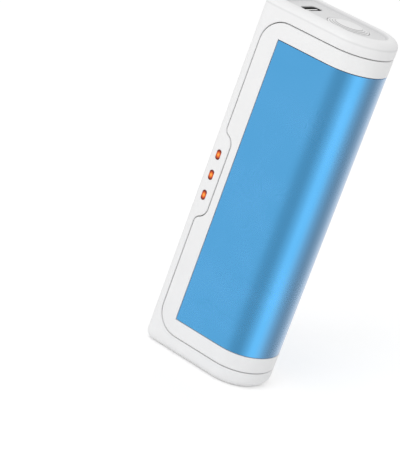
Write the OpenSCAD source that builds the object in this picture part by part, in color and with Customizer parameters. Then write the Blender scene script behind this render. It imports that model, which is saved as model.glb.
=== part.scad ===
// Rechargeable hand warmer with an aluminium heat panel, in millimetres.
// The body stands along Z on its bottom rim. The flat spine faces -X and the round nose +X.
// The origin is at the middle of the box round the body, on the surface it stands on.

/* [Body] */
// Height of the body, standing on its bottom rim
body_h = 111; // [108:0.5:120]
// Width from the flat spine to the tip of the nose
body_w = 38; // [37.6:0.2:44]
// Thickness across the two flat flanks
body_t = 25.5; // [25.2:0.1:28]
// Radius of the two upright corners of the spine
spine_r = 4; // [3:0.2:5]
// Distance from the middle plane to the centres of the two bends beside the nose
bend_in = 1.95; // [1:0.05:3]
// How much the nose's radius exceeds half the thickness
nose_over = 1.75; // [1.2:0.05:4]
// Rounding of the top and bottom edges
edge_r = 2.6; // [1.6:0.2:3]

/* [End caps] */
// Height of each end cap, up to the seam
cap_h = 5; // [4.6:0.1:6]
// Depth of the recess in the top
deck_recess = 1; // [1:0.1:2.2]
// Width of the rim round the top recess
rim_w = 3.4; // [3:0.1:4]
// Run of the sloping wall inside that rim
rim_slope = 0.9; // [0.4:0.1:1.4]
// Thickness of the deck and of the floor
deck_t = 2; // [1.6:0.1:2.2]
// Thickness of the frame's spine wall
spine_wall = 1.8; // [1.5:0.1:2]

/* [Front shell] */
// Thickness of the shell at its white border
shell_t = 2.5; // [2.3:0.05:2.6]
// Distance from the spine face to the seam along each flank
seam_s = 4; // [3.4:0.1:4.4]
// Radius of the seam's four corners
seam_r = 7.5; // [5:0.5:9]
// Gap that shows as the seam
seam_gap = 0.2; // [0.1:0.05:0.4]
// Distance from the spine face to the edge of the window tab
tab_s = 6.9; // [6.4:0.1:7.6]
// Length of the window tab
tab_h = 27.8; // [26:0.2:32]
// Radius of the tab's outer corners
tab_r = 1.8; // [1:0.1:2]

/* [Heat panel] */
// Thickness of the aluminium panel
panel_t = 0.8; // [0.6:0.05:1]
// Distance from the spine face to the panel's two upright edges
panel_s = 9.8; // [9:0.1:12]
// Height of the white border above and below the panel
panel_margin = 10.5; // [9.5:0.5:13.5]
// Depth of the panel's face below the shell's face
panel_sink = 0.06; // [0:0.02:0.2]
// Thickness of the heater film behind the panel
film_t = 0.2; // [0.15:0.05:0.3]
// Thickness of the insulating felt behind the film
felt_t = 0.35; // [0.2:0.05:0.4]

/* [Button] */
// Radius of the button cap
button_r = 6.3; // [5.4:0.1:6.4]
// Radius of the cap's raised middle
button_top_r = 4.1; // [3.2:0.1:4.4]
// Height of the raised middle above the deck
button_rise = 0.6; // [0.3:0.1:0.9]
// Travel of the button
press_travel = 0.4; // [0.2:0.05:0.6]

/* [Port] */
// Distance from the spine face to the port's centre
port_s = 9.5; // [9:0.1:10]
// Long side of the port's metal shell
port_l = 8.94; // [8.8:0.02:9.1]
// Short side of the port's metal shell
port_w = 3.26; // [3.1:0.02:3.4]
// Depth of the port's metal shell
port_h = 9.3; // [8.8:0.1:9.6]

/* [Light windows] */
// Distance from the spine face to the row of windows
window_s = 4.4; // [4:0.1:4.6]
// Length of one window
window_l = 3.4; // [2.6:0.1:4]
// Width of one window
window_w = 1.5; // [1.1:0.1:1.6]
// Distance from one window to the next
window_pitch = 6.5; // [5.5:0.1:6.8]
// Number of heat level windows, on the front flank
heat_count = 3; // [2:1:4]
// Number of charge level windows, on the back flank
charge_count = 4; // [2:1:4]

/* [Cell] */
// Distance from the faces of the flanks to the cell
cell_cover = 3.55; // [3.55:0.05:3.85]
// Distance from each end of the body to the cell
cell_end = 22.9; // [22.5:0.1:24]
// Thickness of the cradle's wall round the cell
cradle_wall = 0.7; // [0.5:0.05:0.75]

/* [Boards] */
// Distance from the spine face to the near face of the main board
board_s = 5; // [4.9:0.1:5.2]
// Thickness of both circuit boards
board_t = 1.2; // [1:0.1:1.4]
// Distance from each end of the body to the main board
board_end = 21.5; // [20.5:0.25:23.5]

/* [Hidden] */
$fn = 96;

// Facets of each arc of the lofted shapes
arc_steps = 10;
// Steps of the edge rounding
edge_steps = 6;
// How far a cut runs past the face that it opens
overrun = 1;
// Running gap round a moving piece
run_gap = 0.15;
// Gap between a piece and what it seats on
seat_gap = 0.03;
// Gap round a piece that lies in a pocket
pocket_gap = 0.1;
// Smallest radius left where an outline is drawn inwards
least_r = 0.5;
// Degrees by which the nose's arc stops short of its bends, so that no two arcs touch in a point
nose_trim = 0.5;

// Middle of the height, and the places that follow from the driving sizes
mid_z = body_h / 2;
deck_z = body_h - deck_recess;
deck_under = deck_z - deck_t;
base_recess = 1.2;
floor_z = base_recess + deck_t;
tab_foot_r = tab_s - seam_s - tab_r;
blend_r = body_t / 2 - bend_in;
nose_r = body_t / 2 + nose_over;
nose_x = body_w / 2 - nose_r;
blend_x = nose_x + sqrt(pow(nose_r - blend_r, 2) - pow(bend_in, 2));
nose_turn = asin(bend_in / (nose_r - blend_r));

// The lip of the frame runs inside the shell's edge
lip_t = 1;
lip_reach = 2.2;
lip_root = 1;
lip_in = shell_t + pocket_gap;
flank_wall = lip_in + lip_t;
cavity_y = body_t / 2 - flank_wall;

// Snaps inside the shell that catch in the frame's lip
snap_l = 6;
snap_d = 0.5;
snap_h = 0.9;
snap_drop = 0.9;
snap_places_share = [0.4, 0.62];

// The panel's height, its stack of layers and their pocket in the shell
panel_h = body_h - panel_margin * 2;
film_in = panel_sink + panel_t + seat_gap;
felt_in = film_in + film_t + seat_gap;
pocket_d = felt_in + felt_t + seat_gap;
layer_margin = 0.5;
panel_gap = 0.12;

// The film's tail goes through a slot in the shell to its socket on the main board
tail_rise = 12.5;
tail_z = board_end + tail_rise;
tail_w = 5;
tail_t = 0.15;
tail_s = 11.6;
tail_end_s = 7.2;
slot_w = 0.9;
tail_run_in = shell_t + 0.4;

// The thermistor sits in a hole of the shell, against the film
bead_r = 1;
bead_nose = 17;
bead_s = body_w - bead_nose;
bead_rise = 1.1;

// The base plate fills the recess in the bottom
plate_sink = 0.25;
plate_gap = 0.15;
grip_count = 5;
grip_w = 0.8;
grip_d = 0.3;
grip_l_share = 0.62;
grip_pitch_share = 0.14;

// The button cap stands midway between the port's slot and the far side of the deck
port_slot_gap = 0.12;
button_s = (port_s + port_w / 2 + port_slot_gap + body_w - rim_w - rim_slope) / 2;
button_steps = 3;
button_wall = 1.3;
flange_w = 1.1;
flange_t = 0.8;
guide_wall = 1;
guide_h = 3;
post_r = 1.6;
button_x = button_s - body_w / 2;
flange_z = deck_under - seat_gap - flange_t;

// The tact switch under the button
switch_w = 6;
switch_h = 3.3;
switch_plate_t = 0.3;
plunger_r = 1.75;
plunger_hole_gap = 0.1;
plunger_seat = 1.2;
rivet_r = 0.4;
rivet_h = 0.15;
rivet_place_share = 0.38;
pin_w = 0.7;
pin_t = 0.3;
pin_out = 0.9;

// The top board carries the port and the switch
port_sink = 0.25;
port_x = port_s - body_w / 2;
top_board_z = deck_z - port_sink - port_h - board_t;
top_board_from_s = 3;
top_board_nose = 8;
top_board_to_s = body_w - top_board_nose;
board_edge_gap = 0.85;
switch_z = top_board_z + board_t + seat_gap;
plunger_top = switch_z + switch_h + 1;
board_y = cavity_y - board_edge_gap;

// The port's parts
port_wall = 0.3;
tongue_l = 6.7;
tongue_t = 0.7;
tongue_sink = 0.7;
tongue_root_h = 3.1;
contact_count = 12;
contact_pitch = 0.5;
contact_w = 0.25;
contact_t = 0.06;
contact_l = 3.6;
leg_w = 0.8;
leg_t = 0.3;
leg_place_share = 0.3;

// Screws with a cross in a pan head, all of one size
screw_r = 1;
screw_hole_r = 1.05;
screw_pass_r = 1.2;
head_r = 1.8;
head_h = 1.2;
cross_l_share = 1.2;
cross_w_share = 0.28;
cross_d_share = 0.6;
long_screw = 8;
short_screw = 5;
boss_r = 2.3;

// The chassis: a plate behind the board, a cradle round the cell and a shelf on top
standoff_h = 4.9;
plate_t = 1.5;
plate_side = 0.5;
plate_rise = 5.3;
plate_s = board_s + board_t + standoff_h;
plate_y = cavity_y - plate_side;
plate_low = floor_z + plate_rise;
cell_r = body_t / 2 - cell_cover;
cell_len = body_h - cell_end * 2;
board_h = body_h - board_end * 2;
cradle_gap = 0.1;
cradle_nose_gap = 0.6;
cradle_r = cell_r + cradle_gap + cradle_wall;
cell_x = body_w / 2 - shell_t - cradle_nose_gap - cradle_r;
cradle_open = 4;
cell_low = mid_z - cell_len / 2;
cell_high = mid_z + cell_len / 2;
tab_t = 0.2;
foam_t = 0.9;
end_wall_t = 1.2;
stack_t = tab_t + foam_t + seat_gap * 3;
wall_low = cell_low - stack_t - end_wall_t;
wall_high = cell_high + stack_t + end_wall_t;
web_y = 6;
web_t = 1.4;
web_places_share = [-0.22, 0.22];
shelf_t = 1.5;
shelf_z = top_board_z - seat_gap;
shelf_from_s = 8;
shelf_to_s = cell_x + body_w / 2 + cradle_open;
shelf_post_y = 6;
shelf_post_r = 2;
shelf_post_s = shelf_to_s - shelf_post_r;

// Where the screws stand
chassis_screw_rise = 8.8;
chassis_screw_low = floor_z + chassis_screw_rise;
chassis_screw_high = (wall_high + shelf_z - shelf_t) / 2;
chassis_screw_y = 5;
board_screw_y = -4;
board_screw_in = 4;
board_screw_z = board_h / 2 - board_screw_in;
base_screw_y = 4;
base_screw_nose = 7.1;
base_post_h = 9;
base_rib_w = 1.4;

// Nickel tabs welded to the cell and soldered to the main board
tab_w = 6;
tab_y = 2.5;
tab_past = 4;
tab_foot = 3;
tab_slot_gap = 0.4;

// The cell's can, sleeve and ring
sleeve_t = 0.13;
sleeve_gap = 0.02;
sleeve_lip = 0.8;
can_r = cell_r - sleeve_t - sleeve_gap;
can_groove_d = 0.35;
ring_in = 1;
ring_w = 3.6;
ring_top_gap = 0.4;
ring_out_r = cell_r - ring_in;
ring_in_r = ring_out_r - ring_w;
can_top_r = ring_in_r - ring_top_gap;
ring_t = 0.2;
strap_w = 8;
strap_t = 0.1;
strap_gap = 0.02;
strap_place_share = 0.34;

// Parts on the main board, as places across half its width and half its length
chip_l = 4.9;
chip_w = 3.9;
chip_h = 1.5;
chip_places_share = [[-0.45, -0.2], [0.45, -0.2], [-0.45, 0.5]];
chip_leg_count = 4;
chip_leg_out = 0.8;
chip_leg_w = 0.4;
chip_leg_t = 0.2;
chip_leg_pitch = 1.27;
coil_r = 3.2;
coil_h = 3;
coil_core_r = 2.2;
coil_core_h = 0.3;
coil_place_share = 0.2;
cap_l = 3.2;
cap_w = 1.6;
cap_t = 1.2;
cap_places_share = [[0.55, 0.42], [0.55, 0.56], [0.1, 0.5], [-0.65, 0.02], [0.65, 0.02], [0, -0.36]];
socket_l = 7;
socket_w = 4;
socket_h = 1.6;
socket_y = -5.4;
ribbon_w = 4.6;
ribbon_t = 0.15;
ribbon_y = -5.2;
ribbon_overlap = 1.5;
ribbon_foot = 1.2;
led_l = 3;
led_w = 1.2;
led_d = 1.1;
led_gap = 0.2;
bar_t = 0.8;
bar_w = 2.4;
bar_past = 1.4;
window_sink = 0.05;
window_gap = 0.05;

// Colours of the pieces
white_tone = [0.93, 0.93, 0.93];
shell_tone = [0.9, 0.9, 0.91];
blue_tone = [0.29, 0.6, 0.85];
film_tone = [0.8, 0.5, 0.15];
felt_tone = [0.75, 0.74, 0.7];
board_tone = [0.08, 0.33, 0.2];
black_tone = [0.08, 0.08, 0.09];
steel_tone = [0.72, 0.73, 0.75];
nickel_tone = [0.8, 0.79, 0.75];
gold_tone = [0.85, 0.68, 0.3];
amber_tone = [1, 0.5, 0.1];
grey_tone = [0.6, 0.6, 0.6];
chassis_tone = [0.25, 0.26, 0.28];
sleeve_tone = [0.15, 0.45, 0.35];
ceramic_tone = [0.7, 0.6, 0.45];

// Place along X of something that lies a distance from the spine face
function at_s(s) = s - body_w / 2;

// Places of a row of windows above and below the middle
function window_rows(count) = [for (i = [0 : count - 1]) mid_z + (i - (count - 1) / 2) * window_pitch];

// Radius and centre of the spine's corners, drawn inwards by inset
function corner_radius(inset) = max(spine_r - inset, least_r);
function corner_centre(inset) = [-body_w / 2 + inset + corner_radius(inset),
    body_t / 2 - inset - corner_radius(inset)];

// Cross-section of the body, drawn inwards by inset: spine corners, flank bends and nose
module outline(inset = 0) {
    corner_r = corner_radius(inset);
    corner_x = corner_centre(inset).x;
    corner_y = corner_centre(inset).y;
    flank_y = body_t / 2 - inset;
    far = nose_r * 2;
    turn = nose_turn - nose_trim;
    for (side = [-1, 1]) {
        translate([corner_x, side * corner_y]) circle(r = corner_r);
        translate([blend_x, side * bend_in]) circle(r = blend_r - inset);
    }
    intersection() {
        translate([nose_x, 0]) circle(r = nose_r - inset);
        translate([nose_x, 0])
            polygon([[0, 0], [far * cos(turn), -far * sin(turn)], [far * cos(turn), far * sin(turn)]]);
    }
    polygon([[corner_x - corner_r, -corner_y], [corner_x, -flank_y], [blend_x, -flank_y],
        [blend_x, flank_y], [corner_x, flank_y], [corner_x - corner_r, corner_y]]);
}

// Upright prism of the cross-section
module prism(inset, low, high) {
    translate([0, 0, low]) linear_extrude(high - low) outline(inset);
}

// Wall that follows the cross-section between two insets
module wall_ring(outer_inset, inner_inset, low, high) {
    difference() {
        prism(outer_inset, low, high);
        prism(inner_inset, low - overrun, high + overrun);
    }
}

// Pushes a shape drawn in X and Z through the whole thickness
module through_body() {
    rotate([90, 0, 0]) linear_extrude(body_t + overrun * 2, center = true) children();
}

// Side view of the window tab, grown by grow
module tab_area(grow = 0) {
    reach = at_s(tab_s) + grow;
    half = tab_h / 2 + grow;
    r = tab_r + grow;
    left = -body_w / 2 - overrun;
    translate([left, mid_z - half]) square([reach - r - left, half * 2]);
    translate([left, mid_z - half + r]) square([reach - left, (half - r) * 2]);
    for (side = [-1, 1])
        translate([reach - r, mid_z + side * (half - r)]) circle(r = r);
    foot = tab_foot_r - grow;
    if (foot > 0)
        for (side = [-1, 1])
            difference() {
                translate([at_s(seam_s) + grow + foot / 2, mid_z + side * (half + foot / 2)])
                    square(foot, center = true);
                translate([at_s(seam_s) + grow + foot, mid_z + side * (half + foot)]) circle(r = foot);
            }
}

// Side view of all that lies inside the seam, drawn inwards by inset
module seam_area(inset = 0) {
    left = at_s(seam_s) + inset;
    right = body_w / 2 + overrun;
    low = cap_h + inset;
    high = body_h - cap_h - inset;
    r = max(seam_r - inset, least_r);
    difference() {
        union() {
            translate([left + r, low]) square([right - left - r, high - low]);
            translate([left, low + r]) square([r * 2, high - low - r * 2]);
            for (z = [low + r, high - r])
                translate([left + r, z]) circle(r = r);
        }
        tab_area(inset);
    }
}

// Side view of the panel or a layer behind it, drawn inwards by inset
module panel_area(inset = 0) {
    translate([at_s(panel_s) + inset, mid_z - panel_h / 2 + inset])
        square([body_w, panel_h - inset * 2]);
}

// Rounded slot with its long side along Y
module slot_area(long, wide) {
    square([wide, long - wide], center = true);
    for (side = [-1, 1])
        translate([0, side * (long - wide) / 2]) circle(r = wide / 2);
}

// Points along an arc, without its first point if skip is 1
function arc_points(centre, r, from, to, skip = 0) = [for (i = [skip : arc_steps])
    centre + r * [cos(from + (to - from) * i / arc_steps), sin(from + (to - from) * i / arc_steps)]];

// The cross-section as points, counter-clockwise from the spine
function outline_points(inset) =
    let (corner = corner_centre(inset), corner_r = corner_radius(inset), bend_r = blend_r - inset)
    concat(
        arc_points([corner.x, -corner.y], corner_r, 180, 270),
        arc_points([blend_x, -bend_in], bend_r, 270, 360 - nose_turn),
        arc_points([nose_x, 0], nose_r - inset, -nose_turn, nose_turn, 1),
        arc_points([blend_x, bend_in], bend_r, nose_turn, 90, 1),
        arc_points(corner, corner_r, 90, 180));

// Solid through a stack of cross-sections, each given as its height and its inset
module loft(levels) {
    rings = [for (level = levels) outline_points(level[1])];
    count = len(rings[0]);
    last = len(levels) - 1;
    points = [for (k = [0 : last]) for (p = rings[k]) [p.x, p.y, levels[k][0]]];
    sides = [for (k = [0 : last - 1]) for (i = [0 : count - 1])
        [k * count + i, (k + 1) * count + i, (k + 1) * count + (i + 1) % count, k * count + (i + 1) % count]];
    bottom = [for (i = [0 : count - 1]) i];
    top = [for (i = [count - 1 : -1 : 0]) last * count + i];
    polyhedron(points = points, faces = concat(sides, [bottom, top]));
}

// Height and inset of each step round an edge
function edge_levels() = [for (i = [0 : edge_steps])
    [edge_r * (1 - cos(i * 90 / edge_steps)), edge_r * (1 - sin(i * 90 / edge_steps))]];

// The whole body with its rounded top and bottom edges
module body_block() {
    low = edge_levels();
    high = [for (i = [edge_steps : -1 : 0]) [body_h - low[i][0], low[i][1]]];
    loft(concat(low, high));
}

// One screw with its head's seat at the origin and its shank along -Z
module screw(length) {
    difference() {
        union() {
            cylinder(r = head_r, h = head_h);
            translate([0, 0, -length]) cylinder(r = screw_r, h = length);
        }
        for (turn = [0, 90])
            rotate(turn)
                translate([-head_r * cross_l_share / 2, -head_r * cross_w_share / 2, head_h * (1 - cross_d_share)])
                    cube([head_r * cross_l_share, head_r * cross_w_share, head_h]);
    }
}

// Places of the chassis screws, as Y and Z
function chassis_screw_places() = [[0, chassis_screw_high], [-chassis_screw_y, chassis_screw_low],
    [chassis_screw_y, chassis_screw_low]];

// Repeats what follows at each chassis screw, turned so that +Z looks to the nose
module at_chassis_screws(s) {
    for (place = chassis_screw_places())
        translate([at_s(s), place.x, place.y]) rotate([0, 90, 0]) children();
}

// Repeats what follows at each board screw, turned so that +Z looks to the nose
module at_board_screws(s) {
    for (side = [-1, 1])
        translate([at_s(s), board_screw_y, mid_z + side * board_screw_z]) rotate([0, 90, 0]) children();
}

// Repeats what follows at each screw of the base
module at_base_screws(z) {
    for (side = [-1, 1])
        translate([body_w / 2 - base_screw_nose, side * base_screw_y, z]) children();
}

// Repeats what follows at each snap, with its flank's side and its end
module at_snaps(inset) {
    for (side = [-1, 1])
        for (share = snap_places_share)
            for (end = [-1, 1])
                translate([at_s(body_w * share), side * (body_t / 2 - inset),
                    mid_z + end * (mid_z - cap_h - snap_drop - snap_h / 2)])
                    children();
}

// Row of window pins on one flank, grown by grow and as deep as the frame's wall
module window_pins(count, side, grow, depth) {
    for (z = window_rows(count))
        translate([at_s(window_s), side * body_t / 2, z])
            rotate([side * 90, 0, 0])
                linear_extrude(depth) slot_area(window_l + grow * 2, window_w + grow * 2);
}

// C-shaped frame: top cap, spine and bottom cap in one moulding
module outer_frame() {
    color(white_tone)
        difference() {
            union() {
                difference() {
                    body_block();
                    through_body() seam_area();
                    frame_cavity();
                    deck_pocket();
                    prism(rim_w, -overrun, base_recess);
                }
                seam_lip();
                translate([button_x, 0, deck_under - guide_h])
                    cylinder(r = button_r + flange_w + run_gap + guide_wall, h = guide_h + seat_gap);
                at_chassis_screws(spine_wall - seat_gap)
                    cylinder(r = boss_r, h = plate_s - spine_wall);
                at_base_screws(floor_z - seat_gap)
                    cylinder(r = boss_r, h = cap_h - floor_z);
            }
            translate([button_x, 0, 0]) {
                translate([0, 0, deck_under - overrun])
                    cylinder(r = button_r + run_gap, h = deck_t + overrun * 2);
                translate([0, 0, deck_under - guide_h - overrun])
                    cylinder(r = button_r + flange_w + run_gap, h = guide_h + overrun);
            }
            translate([port_x, 0, deck_under - guide_h - overrun])
                linear_extrude(guide_h + deck_t + overrun * 2)
                    slot_area(port_l + port_slot_gap * 2, port_w + port_slot_gap * 2);
            window_pins(heat_count, -1, window_gap, flank_wall + overrun);
            window_pins(charge_count, 1, window_gap, flank_wall + overrun);
            at_chassis_screws(plate_s - long_screw) cylinder(r = screw_hole_r, h = long_screw);
            at_base_screws(0) cylinder(r = screw_pass_r, h = cap_h + overrun);
            at_base_screws(0) cylinder(r = head_r + pocket_gap, h = base_recess + head_h);
        }
}

// Space inside the frame
module frame_cavity() {
    prism(flank_wall, floor_z, deck_under);
    spine_space();
}

// Part of that space behind the spine
module spine_space() {
    translate([at_s(spine_wall), -cavity_y, floor_z])
        cube([body_w / 2 - spine_wall, cavity_y * 2, deck_under - floor_z]);
}

// Recess in the top, with a sloping wall
module deck_pocket() {
    loft([[deck_z, rim_w + rim_slope], [body_h, rim_w], [body_h + overrun, rim_w]]);
}

// Lip inside the shell's edge, with pockets for the snaps
module seam_lip() {
    difference() {
        intersection() {
            wall_ring(lip_in, flank_wall, floor_z, deck_under);
            through_body()
                difference() {
                    seam_area(-lip_root);
                    seam_area(lip_reach);
                }
        }
        spine_space();
        at_snaps(lip_in)
            cube([snap_l + pocket_gap * 2, snap_d * 2, snap_h + pocket_gap * 2], center = true);
    }
}

// U-shaped shell from flank to flank round the nose
module front_shell() {
    color(shell_tone)
        difference() {
            union() {
                intersection() {
                    wall_ring(0, shell_t, cap_h, body_h - cap_h);
                    through_body() seam_area(seam_gap);
                }
                at_snaps(shell_t) cube([snap_l, snap_d * 2, snap_h], center = true);
                at_base_screws(cap_h + seat_gap) cylinder(r = boss_r, h = base_post_h);
                intersection() {
                    prism(pocket_d + seat_gap, cap_h + lip_reach + seam_gap, cap_h + base_post_h);
                    at_base_screws(0)
                        translate([0, -base_rib_w / 2, 0]) cube([body_w, base_rib_w, body_h]);
                }
            }
            intersection() {
                wall_ring(-overrun, pocket_d, cap_h, body_h - cap_h);
                through_body() panel_area(-panel_gap);
            }
            translate([at_s(tail_s), -body_t / 2 + shell_t / 2, tail_z])
                cube([slot_w, shell_t + overrun, tail_w + slot_w], center = true);
            translate([at_s(bead_s), 0, mid_z]) rotate([90, 0, 0])
                cylinder(r = bead_r + pocket_gap, h = body_t);
            at_base_screws(cap_h - overrun) cylinder(r = screw_hole_r, h = base_post_h);
        }
}

// Bent aluminium panel round the nose
module heat_panel() {
    color(blue_tone)
        intersection() {
            wall_ring(panel_sink, panel_sink + panel_t, 0, body_h);
            through_body() panel_area();
        }
}

// Heater film glued behind the panel, with its tail
module heater_film() {
    color(film_tone) {
        intersection() {
            wall_ring(film_in, film_in + film_t, 0, body_h);
            through_body() panel_area(layer_margin);
        }
        near = -body_t / 2 + film_in + film_t;
        run = -body_t / 2 + tail_run_in;
        left = at_s(tail_end_s);
        right = at_s(tail_s);
        stop = socket_y - socket_w / 2 - seat_gap;
        translate([0, 0, tail_z - tail_w / 2])
            linear_extrude(tail_w)
                polygon([[right, near - film_t / 2], [right, run], [left, run], [left, stop],
                    [left + tail_t, stop], [left + tail_t, run + tail_t],
                    [right + tail_t, run + tail_t], [right + tail_t, near - film_t / 2]]);
    }
}

// Felt behind the film, with ways through for the tail and the thermistor
module insulating_felt() {
    color(felt_tone)
        difference() {
            intersection() {
                wall_ring(felt_in, felt_in + felt_t, 0, body_h);
                through_body() panel_area(layer_margin);
            }
            translate([at_s(tail_s), -body_t / 2, tail_z])
                cube([slot_w, body_t / 2, tail_w + slot_w], center = true);
            translate([at_s(bead_s), 0, mid_z]) rotate([90, 0, 0])
                cylinder(r = bead_r + pocket_gap, h = body_t);
        }
}

// Bead that measures the film's temperature
module thermistor() {
    color(black_tone)
        translate([at_s(bead_s), -body_t / 2 + felt_in + bead_rise, mid_z])
            rotate([90, 0, 0]) cylinder(r = bead_r, h = bead_rise);
}

// Soft plate glued into the bottom recess, with grip ribs
module base_plate() {
    color(grey_tone)
        difference() {
            prism(rim_w + plate_gap, plate_sink, base_recess - seat_gap);
            for (i = [0 : grip_count - 1])
                translate([(i - (grip_count - 1) / 2) * body_w * grip_pitch_share, 0, plate_sink])
                    cube([grip_w, body_t * grip_l_share, grip_d * 2], center = true);
        }
}

// Button cap: stepped top, skirt, flange and a post that pushes the switch
module button_cap() {
    step_w = (button_r - button_top_r) / button_steps;
    step_h = button_rise / button_steps;
    top_z = deck_z + button_rise;
    under_z = top_z - button_wall;
    post_z = plunger_top + seat_gap;
    stairs = [for (i = [0 : button_steps - 1], j = [0, 1])
        [button_top_r + i * step_w + j * step_w / 4, top_z - (i + j) * step_h]];
    color(white_tone)
        translate([button_x, 0, 0])
            rotate_extrude()
                polygon(concat([[0, top_z]], stairs,
                    [[button_r, deck_z], [button_r, flange_z + flange_t],
                    [button_r + flange_w, flange_z + flange_t], [button_r + flange_w, flange_z],
                    [button_r - button_wall, flange_z], [button_r - button_wall, under_z],
                    [post_r, under_z], [post_r, post_z], [0, post_z]]));
}

// Plastic base of the switch, with its pins
module switch_base() {
    color(black_tone)
        difference() {
            union() {
                translate([button_x - switch_w / 2, -switch_w / 2, switch_z])
                    cube([switch_w, switch_w, switch_h - switch_plate_t - seat_gap]);
                for (side_x = [-1, 1])
                    for (side_y = [-1, 1])
                        translate([button_x + side_x * switch_w / 2, side_y * switch_w * rivet_place_share,
                            switch_z + pin_t / 2])
                            cube([pin_out * 2, pin_w, pin_t], center = true);
            }
            translate([button_x, 0, switch_z + switch_h - plunger_seat - press_travel - run_gap])
                cylinder(r = plunger_r + plunger_hole_gap * 3, h = switch_h);
        }
}

// Steel cover of the switch, with four rivets
module switch_cover() {
    color(steel_tone)
        translate([button_x, 0, switch_z + switch_h - switch_plate_t])
            difference() {
                union() {
                    translate([-switch_w / 2, -switch_w / 2, 0]) cube([switch_w, switch_w, switch_plate_t]);
                    for (side_x = [-1, 1])
                        for (side_y = [-1, 1])
                            translate([side_x * switch_w * rivet_place_share,
                                side_y * switch_w * rivet_place_share, 0])
                                cylinder(r = rivet_r, h = switch_plate_t + rivet_h);
                }
                translate([0, 0, -overrun])
                    cylinder(r = plunger_r + plunger_hole_gap, h = switch_plate_t + overrun * 2);
            }
}

// Plunger of the switch
module switch_plunger() {
    low = switch_z + switch_h - plunger_seat;
    color(grey_tone)
        translate([button_x, 0, low]) cylinder(r = plunger_r, h = plunger_top - low);
}

// Board under the deck
module top_board() {
    color(board_tone)
        difference() {
            translate([at_s(top_board_from_s), -board_y, top_board_z])
                cube([top_board_to_s - top_board_from_s, board_y * 2, board_t]);
            for (side = [-1, 1])
                translate([at_s(shelf_post_s), side * shelf_post_y, top_board_z - overrun])
                    cylinder(r = screw_pass_r, h = board_t + overrun * 2);
            port_legs(pocket_gap);
        }
}

// The four legs of the port's shell, grown by grow
module port_legs(grow = 0) {
    leg_l = board_t + seat_gap + grow * 2;
    for (side_x = [-1, 1])
        for (side_y = [-1, 1])
            translate([port_x + side_x * (port_w - leg_t) / 2, side_y * port_l * leg_place_share,
                top_board_z + (board_t + seat_gap) / 2])
                cube([leg_t + grow * 2, leg_w + grow * 2, leg_l], center = true);
}

// Drawn steel shell of the port, open at the top
module usb_shell() {
    low = top_board_z + board_t + seat_gap;
    high = deck_z - port_sink;
    color(steel_tone) {
        translate([port_x, 0, low])
            difference() {
                linear_extrude(high - low) slot_area(port_l, port_w);
                translate([0, 0, port_wall])
                    linear_extrude(high) slot_area(port_l - port_wall * 2, port_w - port_wall * 2);
            }
        port_legs();
    }
}

// Plastic tongue in the middle of the port, on its root
module usb_tongue() {
    low = top_board_z + board_t + seat_gap + port_wall + seat_gap;
    high = deck_z - port_sink - tongue_sink;
    color(black_tone)
        translate([port_x, 0, low]) {
            linear_extrude(tongue_root_h)
                slot_area(port_l - port_wall * 2 - seat_gap * 2, port_w - port_wall * 2 - seat_gap * 2);
            translate([-tongue_t / 2, -tongue_l / 2, 0]) cube([tongue_t, tongue_l, high - low]);
        }
}

// Gilt contacts on both faces of the tongue
module usb_contacts() {
    high = deck_z - port_sink - tongue_sink - contact_w;
    color(gold_tone)
        for (side = [-1, 1])
            for (i = [0 : contact_count - 1])
                translate([port_x + side * (tongue_t + contact_t + seat_gap * 2) / 2,
                    (i - (contact_count - 1) / 2) * contact_pitch, high - contact_l / 2])
                    cube([contact_t, contact_w, contact_l], center = true);
}

// Inner chassis: plate, cradle, end walls, webs, standoffs, shelf and its posts
module chassis() {
    plate_x = at_s(plate_s);
    color(chassis_tone)
        difference() {
            union() {
                translate([plate_x, -plate_y, plate_low]) cube([plate_t, plate_y * 2, shelf_z - plate_low]);
                cradle_walls();
                at_board_screws(board_s + board_t + seat_gap)
                    cylinder(r = boss_r, h = standoff_h);
                translate([at_s(shelf_from_s), -plate_y, shelf_z - shelf_t])
                    cube([shelf_to_s - shelf_from_s, plate_y * 2, shelf_t]);
                for (side = [-1, 1])
                    translate([at_s(shelf_post_s), side * shelf_post_y, wall_high - seat_gap])
                        cylinder(r = shelf_post_r, h = shelf_z - wall_high);
            }
            translate([cell_x, 0, wall_low + end_wall_t])
                cylinder(r = cell_r + cradle_gap, h = wall_high - wall_low - end_wall_t * 2);
            for (z = [cell_low - tab_t / 2, cell_high + tab_t / 2])
                translate([plate_x - overrun, tab_y - tab_w / 2 - tab_slot_gap, z - tab_t / 2 - tab_slot_gap])
                    cube([cell_x - plate_x + overrun, tab_w + tab_slot_gap * 2, tab_t + tab_slot_gap * 2]);
            strap_rings(pocket_gap);
            at_chassis_screws(plate_s - overrun) cylinder(r = screw_pass_r, h = plate_t + overrun * 2);
            at_board_screws(board_s + board_t - overrun) cylinder(r = screw_hole_r, h = short_screw + overrun);
            for (side = [-1, 1])
                translate([at_s(shelf_post_s), side * shelf_post_y, shelf_z - short_screw])
                    cylinder(r = screw_hole_r, h = short_screw + overrun);
        }
}

// Cradle round the cell, open to the nose, with end walls and webs to the plate
module cradle_walls() {
    plate_x = at_s(plate_s);
    intersection() {
        union() {
            translate([cell_x, 0, wall_low]) cylinder(r = cradle_r, h = wall_high - wall_low);
            for (z = [wall_low, wall_high - end_wall_t])
                translate([plate_x, -plate_y, z]) cube([cell_x - plate_x, plate_y * 2, end_wall_t]);
            for (share = web_places_share)
                translate([plate_x, -web_y, mid_z + share * cell_len - web_t / 2])
                    cube([cell_x - plate_x, web_y * 2, web_t]);
        }
        translate([plate_x, -body_t / 2, 0]) cube([cell_x + cradle_open - plate_x, body_t, body_h]);
    }
}

// Main board, upright behind the spine
module main_board() {
    color(board_tone)
        difference() {
            translate([at_s(board_s), -board_y, mid_z - board_h / 2]) cube([board_t, board_y * 2, board_h]);
            at_board_screws(board_s - overrun) cylinder(r = screw_pass_r, h = board_t + overrun * 2);
        }
}

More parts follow.
